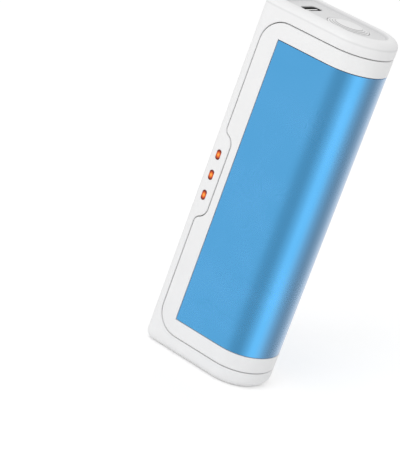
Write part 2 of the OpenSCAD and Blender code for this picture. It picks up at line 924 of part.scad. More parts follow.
// Places what follows on the far face of the main board, with +Z away from the board
module on_board(place) {
    translate([at_s(board_s) + board_t + seat_gap, place.x * board_y, mid_z + place.y * board_h / 2])
        rotate([0, 90, 0]) children();
}

// Chips that charge the cell and drive the heater
module power_chips() {
    color(black_tone)
        for (place = chip_places_share)
            on_board(place) {
                translate([-chip_l / 2, -chip_w / 2, 0]) cube([chip_l, chip_w, chip_h]);
                for (i = [0 : chip_leg_count - 1])
                    translate([(i - (chip_leg_count - 1) / 2) * chip_leg_pitch, 0, chip_leg_t / 2])
                        cube([chip_leg_w, chip_w + chip_leg_out * 2, chip_leg_t], center = true);
            }
}

// Coil of the voltage booster
module inductor() {
    color(grey_tone)
        on_board([0, coil_place_share]) {
            translate([-coil_r, -coil_r, 0]) cube([coil_r * 2, coil_r * 2, coil_h - coil_core_h]);
            cylinder(r = coil_core_r, h = coil_h);
        }
}

// Ceramic capacitors
module capacitors() {
    color(ceramic_tone)
        for (place = cap_places_share)
            on_board(place) translate([-cap_l / 2, -cap_w / 2, 0]) cube([cap_l, cap_w, cap_t]);
}

// Socket of the heater film's tail
module heater_socket() {
    color(white_tone)
        translate([at_s(board_s) + board_t + seat_gap, socket_y - socket_w / 2, tail_z - socket_l / 2])
            cube([socket_h, socket_w, socket_l]);
}

// Flat ribbon from the main board to the top board
module board_ribbon() {
    left = at_s(board_s) + board_t + seat_gap;
    low = mid_z + board_h / 2 - ribbon_overlap;
    high = top_board_z - seat_gap;
    color(film_tone)
        translate([0, ribbon_y + ribbon_w / 2, 0]) rotate([90, 0, 0])
            linear_extrude(ribbon_w)
                polygon([[left, low], [left + ribbon_t, low], [left + ribbon_t, high - ribbon_t],
                    [left + ribbon_foot, high - ribbon_t], [left + ribbon_foot, high], [left, high]]);
}

// Row of side-facing lamps on the near face of the main board
module led_row(count, side) {
    outer = cavity_y - bar_t - led_gap;
    for (z = window_rows(count))
        translate([at_s(board_s) - led_w - seat_gap, side * (outer - led_d / 2) - led_d / 2, z - led_l / 2])
            cube([led_w, led_d, led_l]);
}

// Amber lamps of the heat level
module heat_leds() {
    color(amber_tone) led_row(heat_count, -1);
}

// Lamps of the charge level
module charge_leds() {
    color(white_tone) led_row(charge_count, 1);
}

// Clear bar inside the flank with one pin for each window
module window_bar(count, side) {
    length = (count - 1) * window_pitch + window_l + bar_past * 2;
    difference() {
        union() {
            window_pins(count, side, 0, flank_wall + seat_gap + bar_t / 2);
            translate([at_s(window_s) - bar_w / 2, side * (cavity_y - seat_gap - bar_t / 2) - bar_t / 2,
                mid_z - length / 2])
                cube([bar_w, bar_t, length]);
        }
        translate([at_s(0) - overrun, side * (body_t / 2 - window_sink + overrun) - overrun, 0])
            cube([body_w, overrun * 2, body_h]);
    }
}

// Amber windows of the heat level
module heat_window_bar() {
    color(amber_tone) window_bar(heat_count, -1);
}

// Grey windows of the charge level
module charge_window_bar() {
    color(grey_tone) window_bar(charge_count, 1);
}

// Steel can of the cell, with a groove round its top contact
module cell_can() {
    color(steel_tone)
        translate([cell_x, 0, cell_low])
            difference() {
                cylinder(r = can_r, h = cell_len);
                translate([0, 0, cell_len - can_groove_d])
                    difference() {
                        cylinder(r = ring_out_r + pocket_gap, h = can_groove_d + overrun);
                        translate([0, 0, -overrun]) cylinder(r = can_top_r, h = can_groove_d + overrun * 3);
                    }
            }
}

// Shrunk sleeve round the can
module cell_sleeve() {
    color(sleeve_tone)
        translate([cell_x, 0, cell_low + sleeve_lip])
            difference() {
                cylinder(r = cell_r, h = cell_len - sleeve_lip * 2);
                translate([0, 0, -overrun]) cylinder(r = can_r + sleeve_gap, h = cell_len + overrun);
            }
}

// Insulating ring round the top contact
module cell_ring() {
    color(white_tone)
        translate([cell_x, 0, cell_high - can_groove_d + seat_gap])
            difference() {
                cylinder(r = ring_out_r, h = ring_t);
                translate([0, 0, -overrun]) cylinder(r = ring_in_r, h = ring_t + overrun * 2);
            }
}

// Nickel strip from the end of the cell to the main board; end is 1 at the top, -1 at the bottom
module nickel_tab(end) {
    left = at_s(board_s) + board_t + seat_gap;
    near = end > 0 ? cell_high + seat_gap : cell_low - seat_gap - tab_t;
    foot_z = end > 0 ? near - tab_foot : near + tab_t;
    translate([left, tab_y - tab_w / 2, near]) cube([cell_x + tab_past - left, tab_w, tab_t]);
    translate([left, tab_y - tab_w / 2, foot_z]) cube([tab_t, tab_w, tab_foot]);
}

// Strip on the positive end
module tab_positive() {
    color(nickel_tone) nickel_tab(1);
}

// Strip on the negative end
module tab_negative() {
    color(nickel_tone) nickel_tab(-1);
}

// Foam discs between the cell and the end walls
module foam_pads() {
    color(grey_tone)
        for (z = [cell_low - stack_t + seat_gap, cell_high + tab_t + seat_gap * 2])
            translate([cell_x, 0, z])
                intersection() {
                    cylinder(r = ring_out_r, h = foam_t);
                    translate([-cradle_r, -cradle_r, 0]) cube([cradle_r + cradle_open, cradle_r * 2, foam_t]);
                }
}

// Rings of the two bands, grown outwards and in height by grow
module strap_rings(grow = 0) {
    in_r = cradle_r + strap_gap;
    for (side = [-1, 1])
        translate([cell_x, 0, mid_z + side * strap_place_share * cell_len - strap_w / 2 - grow])
            difference() {
                cylinder(r = in_r + strap_t + grow, h = strap_w + grow * 2);
                translate([0, 0, -overrun]) cylinder(r = in_r, h = strap_w + overrun * 2 + grow * 2);
            }
}

// Two tape bands that tie the cell into its cradle
module cell_straps() {
    color(black_tone) strap_rings();
}

// Screws that hold the chassis to the frame
module chassis_screws() {
    color(steel_tone) at_chassis_screws(plate_s + plate_t + seat_gap) screw(long_screw);
}

// Screws that hold the main board to the chassis
module board_screws() {
    color(steel_tone)
        at_board_screws(board_s - seat_gap) mirror([0, 0, 1]) screw(short_screw);
}

// Screws that hold the top board to the shelf
module top_board_screws() {
    color(steel_tone)
        for (side = [-1, 1])
            translate([at_s(shelf_post_s), side * shelf_post_y, top_board_z + board_t + seat_gap])
                screw(short_screw);
}

// Screws that hold the shell's posts to the floor
module base_screws() {
    color(steel_tone)
        at_base_screws(base_recess + head_h) mirror([0, 0, 1]) screw(long_screw);
}

outer_frame();
front_shell();
heat_panel();
heater_film();
insulating_felt();
thermistor();
base_plate();
button_cap();
switch_base();
switch_cover();
switch_plunger();
top_board();
usb_shell();
usb_tongue();
usb_contacts();
chassis();
main_board();
power_chips();
inductor();
capacitors();
heater_socket();
board_ribbon();
heat_leds();
charge_leds();
heat_window_bar();
charge_window_bar();
cell_can();
cell_sleeve();
cell_ring();
tab_positive();
tab_negative();
foam_pads();
cell_straps();
chassis_screws();
board_screws();
top_board_screws();
base_screws();
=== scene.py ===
import math

import bmesh
import bpy
from mathutils import Matrix, Vector


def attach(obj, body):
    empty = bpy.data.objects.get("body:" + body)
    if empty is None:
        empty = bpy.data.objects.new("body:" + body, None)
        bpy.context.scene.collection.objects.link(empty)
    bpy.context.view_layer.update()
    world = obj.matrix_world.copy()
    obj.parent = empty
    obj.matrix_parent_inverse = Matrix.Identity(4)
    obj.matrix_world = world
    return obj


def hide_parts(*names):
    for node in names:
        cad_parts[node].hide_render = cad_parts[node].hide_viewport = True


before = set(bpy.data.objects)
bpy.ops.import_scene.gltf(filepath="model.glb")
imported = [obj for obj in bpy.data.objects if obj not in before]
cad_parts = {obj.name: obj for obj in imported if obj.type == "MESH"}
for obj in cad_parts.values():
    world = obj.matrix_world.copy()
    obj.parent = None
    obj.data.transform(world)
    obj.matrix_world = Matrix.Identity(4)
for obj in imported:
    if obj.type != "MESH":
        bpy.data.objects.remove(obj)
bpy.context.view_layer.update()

# Outer frame: top cap, flat spine and bottom cap in one C-shaped moulding of white ABS.
# Its outer wall is drawn as one flat sheet with the seam's outline, thickened, rounded at its rim,
# scored and then bent round the case; the deck, its holes and the floor close it at both ends.
mm = 0.001
body_w, body_t, body_h = 38 * mm, 25.5 * mm, 111 * mm
corner_r = 4 * mm
bend_in = 1.95 * mm
bend_r = body_t / 2 - bend_in
nose_r = body_t / 2 + 1.75 * mm
nose_x = body_w / 2 - nose_r
bend_x = nose_x + math.sqrt((nose_r - bend_r) ** 2 - bend_in ** 2)
nose_turn = math.asin(bend_in / (nose_r - bend_r))
nose_run = nose_r * nose_turn
bend_run = nose_run + bend_r * (math.pi / 2 - nose_turn)
flank_run = bend_run + bend_x + body_w / 2 - corner_r
corner_run = flank_run + corner_r * math.pi / 2
half_round = corner_run + body_t / 2 - corner_r
lap = 2 * half_round
least_r = 0.5 * mm
cap_h, rim_w, deck_z, deck_under = 5 * mm, 3.4 * mm, 110 * mm, 108 * mm
recess_z, floor_z = 1.2 * mm, 3.2 * mm
flank_wall, spine_wall = 3.6 * mm, 1.8 * mm
mid_z = body_h / 2
button_x, button_r, port_x = 3.475 * mm, 6.3 * mm, -9.5 * mm
port_l, port_w = 8.94 * mm, 3.26 * mm
window_s, window_pitch = 4.15 * mm, 6.5 * mm
window_l, window_w, window_gap = 3.1 * mm, 1.5 * mm, 0.05 * mm
base_screw_x, base_screw_y = 11.9 * mm, 4 * mm
edge_r, roll_r, rim_r, foot_r = 0.38 * mm, 2.6 * mm, 0.25 * mm, 0.35 * mm
rim_foot, deck_in = 4.3 * mm, 5 * mm
weld, hair = 0.002 * mm, 1e-7
seam_s, seam_ease, most_ease = 3.65, 7.6, 3.0
tab_s, tab_half, tab_slant, tab_foot_ease, tab_end_ease = 6.9, 13.6, 1.5, 1.3, 2.15
tab_ease = math.tan((math.pi / 2 - math.atan(tab_slant / (tab_s - seam_s))) / 2)


def run_at(s):
    """How far round the case, from the nose, a line on the +Y flank lies that is s from the spine"""
    return bend_run + bend_x + body_w / 2 - s


def seam_line(grow=0.0, least=0.0):
    """The seam's corners on the +Y flank from the bottom up, moved so far (in mm) into the shell's side:
    each a run, a height and how far off its rounding starts"""
    half = body_h / mm / 2
    turns = [(seam_s, half - cap_h / mm, -1, seam_ease), (seam_s, tab_half, tab_ease, tab_foot_ease),
             (tab_s, tab_half - tab_slant, tab_ease, tab_end_ease)]
    corners = []
    for side in (-1, 1):
        for s, up, rise, ease in turns if side < 0 else reversed(turns):
            ease += abs(rise) * (grow if s > seam_s else -grow)
            corners.append((run_at((s + grow) * mm), (half + side * (up + rise * grow)) * mm,
                            max(min(ease, most_ease) if s > seam_s else ease, least) * mm))
    return corners


def on_case(run, depth, z, spine_depth=None):
    """The point a run round the case from the nose, at a height, and a depth below the face"""
    spine_depth = depth if spine_depth is None else spine_depth
    run = (run + half_round) % lap - half_round
    side = -1 if run < 0 else 1
    run = abs(run)
    small = max(corner_r - depth, least_r)
    small_x, small_y = -body_w / 2 + spine_depth + small, body_t / 2 - depth - small
    straight = max(-body_w / 2 + corner_r - small_x, 0)
    if run < nose_run:
        turn = run / nose_r
        x, y = nose_x + (nose_r - depth) * math.cos(turn), (nose_r - depth) * math.sin(turn)
    elif run < bend_run:
        turn = nose_turn + (run - nose_run) / bend_r
        x, y = bend_x + (bend_r - depth) * math.cos(turn), bend_in + (bend_r - depth) * math.sin(turn)
    elif run < flank_run:
        x, y = max(bend_x - (run - bend_run), small_x), body_t / 2 - depth
    elif run < corner_run:
        share = (run - flank_run) / (corner_run - flank_run)
        x = small_x
        if straight > 0.2 * mm:
            x += straight * max(1 - 2 * share, 0)
            share = max(2 * share - 1, 0)
        turn = (1 + share) * math.pi / 2
        x, y = x + small * math.cos(turn), small_y + small * math.sin(turn)
    else:
        share = (run - corner_run) / (half_round - corner_run)
        x, y = -body_w / 2 + spine_depth, small_y * (1 - share)
    return Vector((x, side * y, z))


def soft_path(points, fine=6):
    """A path of depths and heights with its corners rounded, and the length so far at each place"""
    path = [Vector(points[0][:2])]
    for before, here, after in zip(points, points[1:], points[2:]):
        corner = Vector(here[:2])
        back, ahead = ((Vector(other[:2]) - corner).normalized() for other in (before, after))
        half = back.angle(ahead) / 2
        centre = corner + (back + ahead).normalized() * here[2] / math.sin(half)
        start, end = (corner + way * here[2] / math.tan(half) - centre for way in (back, ahead))
        path += [centre + start.slerp(end, i / fine).normalized() * here[2] for i in range(fine + 1)]
    path.append(Vector(points[-1][:2]))
    lengths = [0.0]
    for one, two in zip(path, path[1:]):
        lengths.append(lengths[-1] + (two - one).length)
    return path, lengths


def rounded_loop(bm, centre, size, radius, fine=8):
    """A flat loop of edges: a rectangle with rounded corners"""
    known = set(bm.verts)
    verts = [bm.verts.new(Vector(centre) + Vector((x * size[0] / 2, y * size[1] / 2, 0)))
             for x, y in ((-1, -1), (1, -1), (1, 1), (-1, 1))]
    bm.faces.new(verts)
    bmesh.ops.bevel(bm, geom=verts, offset=radius, offset_type='OFFSET', segments=fine, profile=0.5,
                    affect='VERTICES', clamp_overlap=False, material=-1)
    bmesh.ops.remove_doubles(bm, verts=[v for v in bm.verts if v not in known], dist=0.001 * mm)
    verts = [v for v in bm.verts if v not in known]
    bmesh.ops.delete(bm, geom=list({f for v in verts for f in v.link_faces}), context='FACES_ONLY')
    return verts, list({e for v in verts for e in v.link_edges})


def blank(corners, fine=10, bm=None):
    """A flat sheet cut from its corners, each a run, a height and how far off its rounding starts"""
    bm = bm or bmesh.new()
    verts = [bm.verts.new((run, z, 0)) for run, z, radius in corners]
    bm.faces.new(verts)
    for vert, (run, z, radius) in zip(verts, corners):
        if radius:
            bmesh.ops.bevel(bm, geom=[vert], offset=radius, offset_type='OFFSET', segments=fine,
                            profile=0.5, affect='VERTICES', clamp_overlap=False, material=-1)
    bmesh.ops.remove_doubles(bm, verts=bm.verts[:], dist=weld)
    return bm


def score(bm, runs, heights=()):
    """Cuts the sheet across at the runs and heights, so that it can bend there"""
    lines = [((run, 0, 0), (1, 0, 0)) for run in runs] + [((0, z, 0), (0, 1, 0)) for z in heights]
    for place, way in lines:
        bmesh.ops.bisect_plane(bm, geom=bm.verts[:] + bm.edges[:] + bm.faces[:], dist=weld,
                               plane_co=place, plane_no=way)


def bend_scores(low, high, step=math.radians(3)):
    """The runs between low and high at which the case's arcs are scored, a step apart"""
    runs = []
    for start, end, radius in ((0, nose_run, nose_r), (nose_run, bend_run, bend_r),
                               (flank_run, corner_run, corner_r)):
        count = max(1, round((end - start) / radius / step))
        runs += [start + (end - start) * i / count for i in range(count + 1)]
    runs.append(half_round)
    every = {side * run + turn for run in runs for side in (-1, 1) for turn in (0, lap)}
    return sorted(run for run in every if low + 0.01 * mm < run < high - 0.01 * mm)


def thicken(bm, depth):
    """Gives the flat sheet a thickness downwards and returns its rim's edges on the face"""
    grown = bmesh.ops.extrude_face_region(bm, geom=bm.faces[:])["geom"]
    low = [g for g in grown if isinstance(g, bmesh.types.BMVert)]
    bmesh.ops.translate(bm, verts=low, vec=(0, 0, -depth))
    bmesh.ops.recalc_face_normals(bm, faces=bm.faces[:])
    return [edge for edge in bm.edges if all(abs(v.co.z) < hair for v in edge.verts)
            and sum(abs(face.normal.z) > 0.5 for face in edge.link_faces) == 1]


def round_off(bm, edges, radius, fine=3):
    """Rounds the edges over"""
    bmesh.ops.bevel(bm, geom=edges, offset=radius, offset_type='OFFSET', segments=fine, profile=0.5,
                    affect='EDGES', clamp_overlap=False, loop_slide=True, material=-1)


def fill(bm, edges):
    """Closes a flat area that lies between loops of edges"""
    bmesh.ops.triangle_fill(bm, use_beauty=True, use_dissolve=False, edges=edges)


def bridge(bm, loops):
    """Joins loops of edges, each to the next"""
    for one, two in zip(loops, loops[1:]):
        bmesh.ops.bridge_loops(bm, edges=one + two)


def cut_hole(bm, at, size, radius, levels, margin, line=None):
    """Cuts a rounded hole through the flat sheet. Each level is a height and how much wider the hole is
    there; a face is cut away at the first and the last. A line is a score that crosses the hole"""
    loops = []
    for index, (level, wider) in enumerate(levels):
        cell = [face for face in bm.faces if index in (0, len(levels) - 1)
                and all(abs(v.co.z - level) < hair for v in face.verts)
                and abs(face.calc_center_median().x - at[0]) < size[0] / 2 + margin
                and abs(face.calc_center_median().y - at[1]) < size[1] / 2 + margin]
        border = [e for e in {e for face in cell for e in face.edges}
                  if sum(f in cell for f in e.link_faces) == 1]
        bmesh.ops.delete(bm, geom=cell, context='FACES')
        wide = size[0] + wider * 2, size[1] + wider * 2
        verts, edges = rounded_loop(bm, (*at, level), wide, radius + wider)
        if line is not None:
            bmesh.ops.bisect_plane(bm, geom=verts + edges, dist=hair, plane_co=(line, 0, 0),
                                   plane_no=(1, 0, 0))
            verts = list({v for vert in verts for e in vert.link_edges for v in e.verts})
            edges = list({e for v in verts for e in v.link_edges})
        loops.append(edges)
        if border:
            ties = []
            if line is not None:
                outer, inner = (sorted({v for v in those if abs(v.co.x - line) < 1e-6},
                                       key=lambda v: v.co.y)
                                for those in ([v for e in border for v in e.verts], verts))
                ties = [bm.edges.new((outer[0], inner[0])), bm.edges.new((outer[-1], inner[-1]))]
            fill(bm, border + edges + ties)
            bmesh.ops.delete(bm, geom=[face for face in {f for v in verts for f in v.link_faces}
                                       if all(v in verts for v in face.verts)], context='FACES')
    bridge(bm, loops)


def tube(bm, rings, place, fine=32, closed=False):
    """A turned wall through rings of a radius and a height, its ends open or closed; returns the edges of
    its first and last ring"""
    radius, z = rings[0]
    ring = bmesh.ops.create_circle(bm, cap_ends=False, segments=fine, radius=radius,
                                   matrix=place @ Matrix.Translation((0, 0, z)))["verts"]
    loops = [list({e for v in ring for e in v.link_edges})]
    for new_radius, new_z in rings[1:]:
        grown = bmesh.ops.extrude_edge_only(bm, edges=loops[-1])["geom"]
        ring = {g for g in grown if isinstance(g, bmesh.types.BMVert)}
        widen = Matrix.Diagonal((new_radius / radius, new_radius / radius, 1, 1))
        bmesh.ops.transform(bm, matrix=place @ Matrix.Translation((0, 0, new_z)) @ widen
                            @ Matrix.Translation((0, 0, -z)) @ place.inverted(), verts=list(ring))
        loops.append([g for g in grown
                      if isinstance(g, bmesh.types.BMEdge) and ring.issuperset(g.verts)])
        radius, z = new_radius, new_z
    if closed:
        for loop in (loops[0], loops[-1]):
            bmesh.ops.edgeloop_fill(bm, edges=loop)
    return loops[0], loops[-1]


def bend_round(bm, sink=0.0):
    """Bends the flat sheet round the case, its face a little below the case's"""
    for vert in bm.verts:
        vert.co = on_case(vert.co.x, sink - vert.co.z, vert.co.y)


def piece(bm, name, nodes, material, body="casing", sharp=35):
    """Turns the mesh into the piece that stands for its CAD nodes and rides on their body"""
    bmesh.ops.remove_doubles(bm, verts=bm.verts[:], dist=0.001 * mm)
    bmesh.ops.dissolve_degenerate(bm, edges=bm.edges[:], dist=0.001 * mm)
    bmesh.ops.recalc_face_normals(bm, faces=bm.faces[:])
    for face in bm.faces:
        face.smooth = True
    for edge in bm.edges:
        edge.smooth = len(edge.link_faces) == 2 and edge.calc_face_angle(0) < math.radians(sharp)
    mesh = bpy.data.meshes.new(name)
    bm.to_mesh(mesh)
    bm.free()
    mesh.materials.append(material)
    made = bpy.data.objects.new(name, mesh)
    bpy.context.scene.collection.objects.link(made)
    made.modifiers.new("Even faces", 'WEIGHTED_NORMAL').keep_sharp = True
    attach(made, body)
    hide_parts(*nodes)


def new_group(name, inputs, outputs):
    """An empty group of shader nodes, and the sockets of its two ends"""
    group = bpy.data.node_groups.new(name, 'ShaderNodeTree')
    for label, value in inputs.items():
        kind = "NodeSocketColor" if isinstance(value, tuple) else "NodeSocketFloat"
        socket = group.interface.new_socket(name=label, in_out='INPUT', socket_type=kind)
        socket.default_value = value
    for label, kind in outputs.items():
        group.interface.new_socket(name=label, in_out='OUTPUT', socket_type="NodeSocket" + kind)
    return group, group.nodes.new("NodeGroupInput").outputs, group.nodes.new("NodeGroupOutput").inputs


def node(tree, kind, inputs=(), **settings):
    """A shader node with its settings and its inputs, each a value or a socket to link"""
    made = tree.nodes.new("ShaderNode" + kind)
    for key, value in settings.items():
        setattr(made, key, value)
    for key, value in dict(inputs).items():
        if isinstance(value, bpy.types.NodeSocket):
            tree.links.new(value, made.inputs[key])
        else:
            made.inputs[key].default_value = value
    return made


def maths(tree, operation, *values):
    """A sum on numbers or sockets"""
    return node(tree, "Math", enumerate(values), operation=operation).outputs[0]


def mix(tree, factor, one, two):
    """A colour between two"""
    return node(tree, "Mix", {0: factor, 6: one, 7: two}, data_type='RGBA').outputs[2]


def from_to(tree, value, low, high, to_low, to_high):
    """A value carried from one range to another and held inside it"""
    return node(tree, "MapRange", {0: value, 1: low, 2: high, 3: to_low, 4: to_high}).outputs[0]


def noise(tree, place, scale, detail=2.0):
    """A noise between 0 and 1"""
    return node(tree, "TexNoise", {"Vector": place, "Scale": scale, "Detail": detail}).outputs["Fac"]


def bump(tree, height, strength, distance, normal):
    """The normal of a bumpy surface"""
    return node(tree, "Bump", {"Height": height, "Strength": strength, "Distance": distance,
                               "Normal": normal}).outputs["Normal"]


def soft_edges(tree, radius):
    """The normal with the edges eased, and a mask of the worn edges"""
    eased = node(tree, "Bevel", {"Radius": radius}, samples=4).outputs["Normal"]
    along = node(tree, "VectorMath", {0: eased, 1: node(tree, "NewGeometry").outputs["Normal"]},
                 operation='DOT_PRODUCT').outputs["Value"]
    return eased, from_to(tree, along, 0.97, 0.75, 0.0, 1.0)


def bare_material(name, **uniform):
    """A material whose shader has its uniform values set and its varying ones still to be linked"""
    made = bpy.data.materials.new(name)
    made.use_nodes = True
    shader = made.node_tree.nodes["Principled BSDF"]
    for key, value in uniform.items():
        shader.inputs[key.replace("_", " ")].default_value = value
    return made, made.node_tree, shader


soft_r = 0.08 * mm


def surface(name, pattern):
    """A group for a surface whose pattern gives its shade and its bumps; its edges are eased and a
    little worn"""
    tree, given, put = new_group(name, {
        "Light": (0.8, 0.8, 0.8, 1), "Shade": (0.76, 0.76, 0.76, 1), "Scale": 4.0, "Depth": 0.1,
        "Least roughness": 0.35, "Most roughness": 0.45, "Wear": 0.3},
        {"Color": "Color", "Roughness": "Float", "Normal": "Vector"})
    where = node(tree, "TexCoord").outputs["Object"]
    shade, height = pattern(tree, where, maths(tree, 'MULTIPLY', given["Scale"], 1000.0))
    eased, worn = soft_edges(tree, soft_r)
    patches = from_to(tree, noise(tree, where, 300.0), 0.35, 0.6, 0.2, 1.0)
    worn = maths(tree, 'MULTIPLY', maths(tree, 'MULTIPLY', worn, patches), given["Wear"])
    pale = node(tree, "MixRGB", {0: 1.0, 1: given["Light"], 2: (0.25, 0.25, 0.25, 1)},
                blend_type='ADD').outputs[0]
    colour = mix(tree, worn, mix(tree, shade, given["Light"], given["Shade"]), pale)
    rough = from_to(tree, shade, 0.0, 1.0, given["Least roughness"], given["Most roughness"])
    rough = maths(tree, 'MULTIPLY_ADD', worn, -0.15, rough)
    normal = bump(tree, height, given["Depth"], 0.02 * mm, eased)
    for label, socket in (("Color", colour), ("Roughness", rough), ("Normal", normal)):
        tree.links.new(socket, put[label])
    return tree


def covered(name, group, light, shade, scale, depth=0.1, roughness=(0.35, 0.45), wear=0.3, **uniform):
    """A material whose colour, roughness and normal come from a group"""
    made, tree, shader = bare_material(name, **uniform)
    look = tree.nodes.new("ShaderNodeGroup")
    look.node_tree = group
    least, most = roughness
    for key, value in (("Light", (*light, 1)), ("Shade", (*shade, 1)), ("Scale", scale),
                       ("Depth", depth), ("Least roughness", least), ("Most roughness", most),
                       ("Wear", wear)):
        look.inputs[key].default_value = value
    for socket, output in (("Base Color", "Color"), ("Roughness", "Roughness"), ("Normal", "Normal")):
        tree.links.new(look.outputs[output], shader.inputs[socket])
    return made


def grainy(tree, where, scale):
    """The satin grain that a mould leaves: fine bumps, and slow changes of shade and gloss"""
    fine, slow = noise(tree, where, scale), noise(tree, where, 70.0, 3.0)
    both = maths(tree, 'MULTIPLY_ADD', fine, 0.35, maths(tree, 'MULTIPLY', slow, 0.65))
    return from_to(tree, both, 0.35, 0.65, 0.0, 1.0), fine


grain = surface("Moulded grain", grainy)


def moulded(name, light, shade, grains=4.0, depth=0.1, roughness=(0.35, 0.45), wear=0.0):
    """A material with the moulded grain"""
    return covered(name, grain, light, shade, grains, depth, roughness, wear)


def shaded(material, mask, colour):
    """Lays another shade of the plastic on the places of a mask"""
    tree = material.node_tree
    look = next(n for n in tree.nodes if n.type == 'GROUP')
    base = tree.nodes["Principled BSDF"].inputs["Base Color"]
    tree.links.new(mix(tree, mask, look.outputs["Color"], colour), base)


def place_on(tree):
    """The X, Y and Z of a place on the piece"""
    return node(tree, "SeparateXYZ", {0: node(tree, "TexCoord").outputs["Object"]}).outputs


def far_off(tree, one, two):
    """How far off a place lies that is so far off in each of two directions"""
    return maths(tree, 'SQRT', maths(tree, 'ADD', maths(tree, 'MULTIPLY', one, one),
                                     maths(tree, 'MULTIPLY', two, two)))


path, lengths = soft_path([(rim_w, recess_z), (rim_w, 0, rim_r), (0, 0, roll_r), (0, body_h, roll_r),
                           (rim_w, body_h, rim_r), (rim_foot, deck_z, foot_r), (deck_in, deck_z)])
upright = min(i for i, place in enumerate(path) if place.x < 1e-9)
shift = path[upright].y - lengths[upright]
lengths = [length + shift for length in lengths]


def on_frame(run, along, thickness):
    """The point of the frame's wall that lies along its rolled edge, on the face or on its inner side"""
    index = min(max(sum(length <= along for length in lengths) - 1, 0), len(path) - 2)
    share = (along - lengths[index]) / (lengths[index + 1] - lengths[index])
    place = path[index].lerp(path[index + 1], share)
    if thickness < 1 * mm:
        return on_case(run, place.x + thickness, place.y)
    return on_case(run, flank_wall, min(max(along, floor_z), deck_under), spine_wall)


half = seam_line()
bottom_end, top_end = lengths[0], lengths[-1]
wall = blank([(0, bottom_end, 0), (lap, bottom_end, 0), (lap, cap_h, 0)]
             + [(lap - run, z, r) for run, z, r in half]
             + [(lap, body_h - cap_h, 0), (lap, top_end, 0), (0, top_end, 0), (0, body_h - cap_h, 0)]
             + list(reversed(half)) + [(0, cap_h, 0)])
rows = [(side, mid_z + (i - (count - 1) / 2) * window_pitch)
        for side, count in ((-1, 3), (1, 4)) for i in range(count)]
window_runs = {1: run_at(window_s), -1: lap - run_at(window_s)}
cell_past = 0.4 * mm
cell_x, cell_y = window_w / 2 + cell_past, window_l / 2 + cell_past
cell_runs = [run + way * cell_x for run in window_runs.values() for way in (-1, 1)]
cell_heights = sorted({z + way * cell_y for side, z in rows for way in (-1, 1)})
rim = thicken(wall, flank_wall)


def at_end(verts):
    """Whether all the verts lie on one of the flat sheet's four ends"""
    return any(all(abs(v.co[axis] - end) < 1e-6 for v in verts)
               for axis, ends in enumerate(((0, lap), (bottom_end, top_end))) for end in ends)


round_off(wall, [edge for edge in rim if not at_end(edge.verts)], edge_r)
score(wall, bend_scores(0, lap) + cell_runs, lengths[1:-1] + cell_heights)
bmesh.ops.delete(wall, geom=[face for face in wall.faces if at_end(face.verts)], context='FACES')
for side, z in rows:
    cut_hole(wall, (window_runs[side], z), (window_w + 2 * window_gap, window_l + 2 * window_gap),
             window_w / 2 + window_gap - hair, ((0, window_gap), (-window_gap, 0), (-flank_wall, 0)),
             cell_past - 0.05 * mm, flank_run if side > 0 else lap - flank_run)
for vert in wall.verts:
    vert.co = on_frame(vert.co.x, vert.co.y, -vert.co.z)
bmesh.ops.remove_doubles(wall, verts=wall.verts[:], dist=weld)
bmesh.ops.dissolve_degenerate(wall, edges=wall.edges[:], dist=weld)


def open_edges(bm, z):
    """The open edges that lie at a height"""
    return [e for e in bm.edges if e.is_boundary and all(abs(v.co.z - z) < 1e-6 for v in e.verts)]


deck_loops, under_loops = open_edges(wall, deck_z), open_edges(wall, deck_under)
recess_loops, floor_loops = open_edges(wall, recess_z), open_edges(wall, floor_z)
hole_r, guide_in, guide_out = (button_r + more * mm for more in (0.15, 1.25, 2.25))
guide_z = deck_under - 3 * mm
rings = [(hole_r + wider * mm, deck_z - drop * mm)
         for wider, drop in ((0.14, 0), (0.04, 0.04), (0, 0.14))]
rings += [(hole_r, deck_under), (guide_in, deck_under), (guide_in, guide_z), (guide_out, guide_z),
          (guide_out, deck_under)]
top_ring, under_ring = tube(wall, rings, Matrix.Translation((button_x, 0, 0)), 96)
slot_gap = 0.24
slot_loops = []
for wider, z in ((0.12, deck_z), (0.03, deck_z - 0.04 * mm), (0, deck_z - 0.12 * mm), (0, deck_under)):
    size = [side + (slot_gap + wider * 2) * mm for side in (port_w, port_l)]
    slot_loops.append(rounded_loop(wall, (port_x, 0, z), size, size[0] / 2 - hair, 12)[1])
bridge(wall, slot_loops)
deck_loops += top_ring + slot_loops[0]
under_loops += under_ring + slot_loops[-1]
post_r, bore_r, shank_r, head_r, head_z = 2.3 * mm, 1.05 * mm, 1.2 * mm, 1.9 * mm, 2.4 * mm
for side in (-1, 1):
    post, recess = tube(wall, [(post_r, floor_z), (post_r, cap_h), (shank_r, cap_h), (shank_r, head_z),
                               (head_r, head_z), (head_r, recess_z)],
                        Matrix.Translation((base_screw_x, side * base_screw_y, 0)))
    floor_loops += post
    recess_loops += recess
for loops in (deck_loops, under_loops, recess_loops, floor_loops):
    fill(wall, loops)
boss_y, boss_low, boss_high = 5 * mm, 12 * mm, 94.105 * mm
boss_root, boss_top, bore_end = 1.77 * mm, 11.07 * mm, 3.1 * mm
for z in (boss_low, boss_high):
    for y in (-boss_y, boss_y):
        aim = Matrix.Translation((-body_w / 2, y, z)) @ Matrix.Rotation(math.pi / 2, 4, 'Y')
        tube(wall, [(post_r, boss_root), (post_r, boss_top), (bore_r, boss_top), (bore_r, bore_end)],
             aim, closed=True)
lip_sides, lip_least, lip_t, lip_sink = (-0.4, 2.2), 0.3, 0.99 * mm, 2.6 * mm
lip = bmesh.new()
for grow in lip_sides:
    part = seam_line(grow, lip_least)
    blank(part + [(-run, z, r) for run, z, r in reversed(part)], bm=lip)
bmesh.ops.delete(lip, geom=lip.faces[:], context='FACES_ONLY')
fill(lip, lip.edges[:])
score(lip, bend_scores(-half_round, half_round))
thicken(lip, lip_t)
bend_round(lip, lip_sink)
lip_mesh = bpy.data.meshes.new("lip")
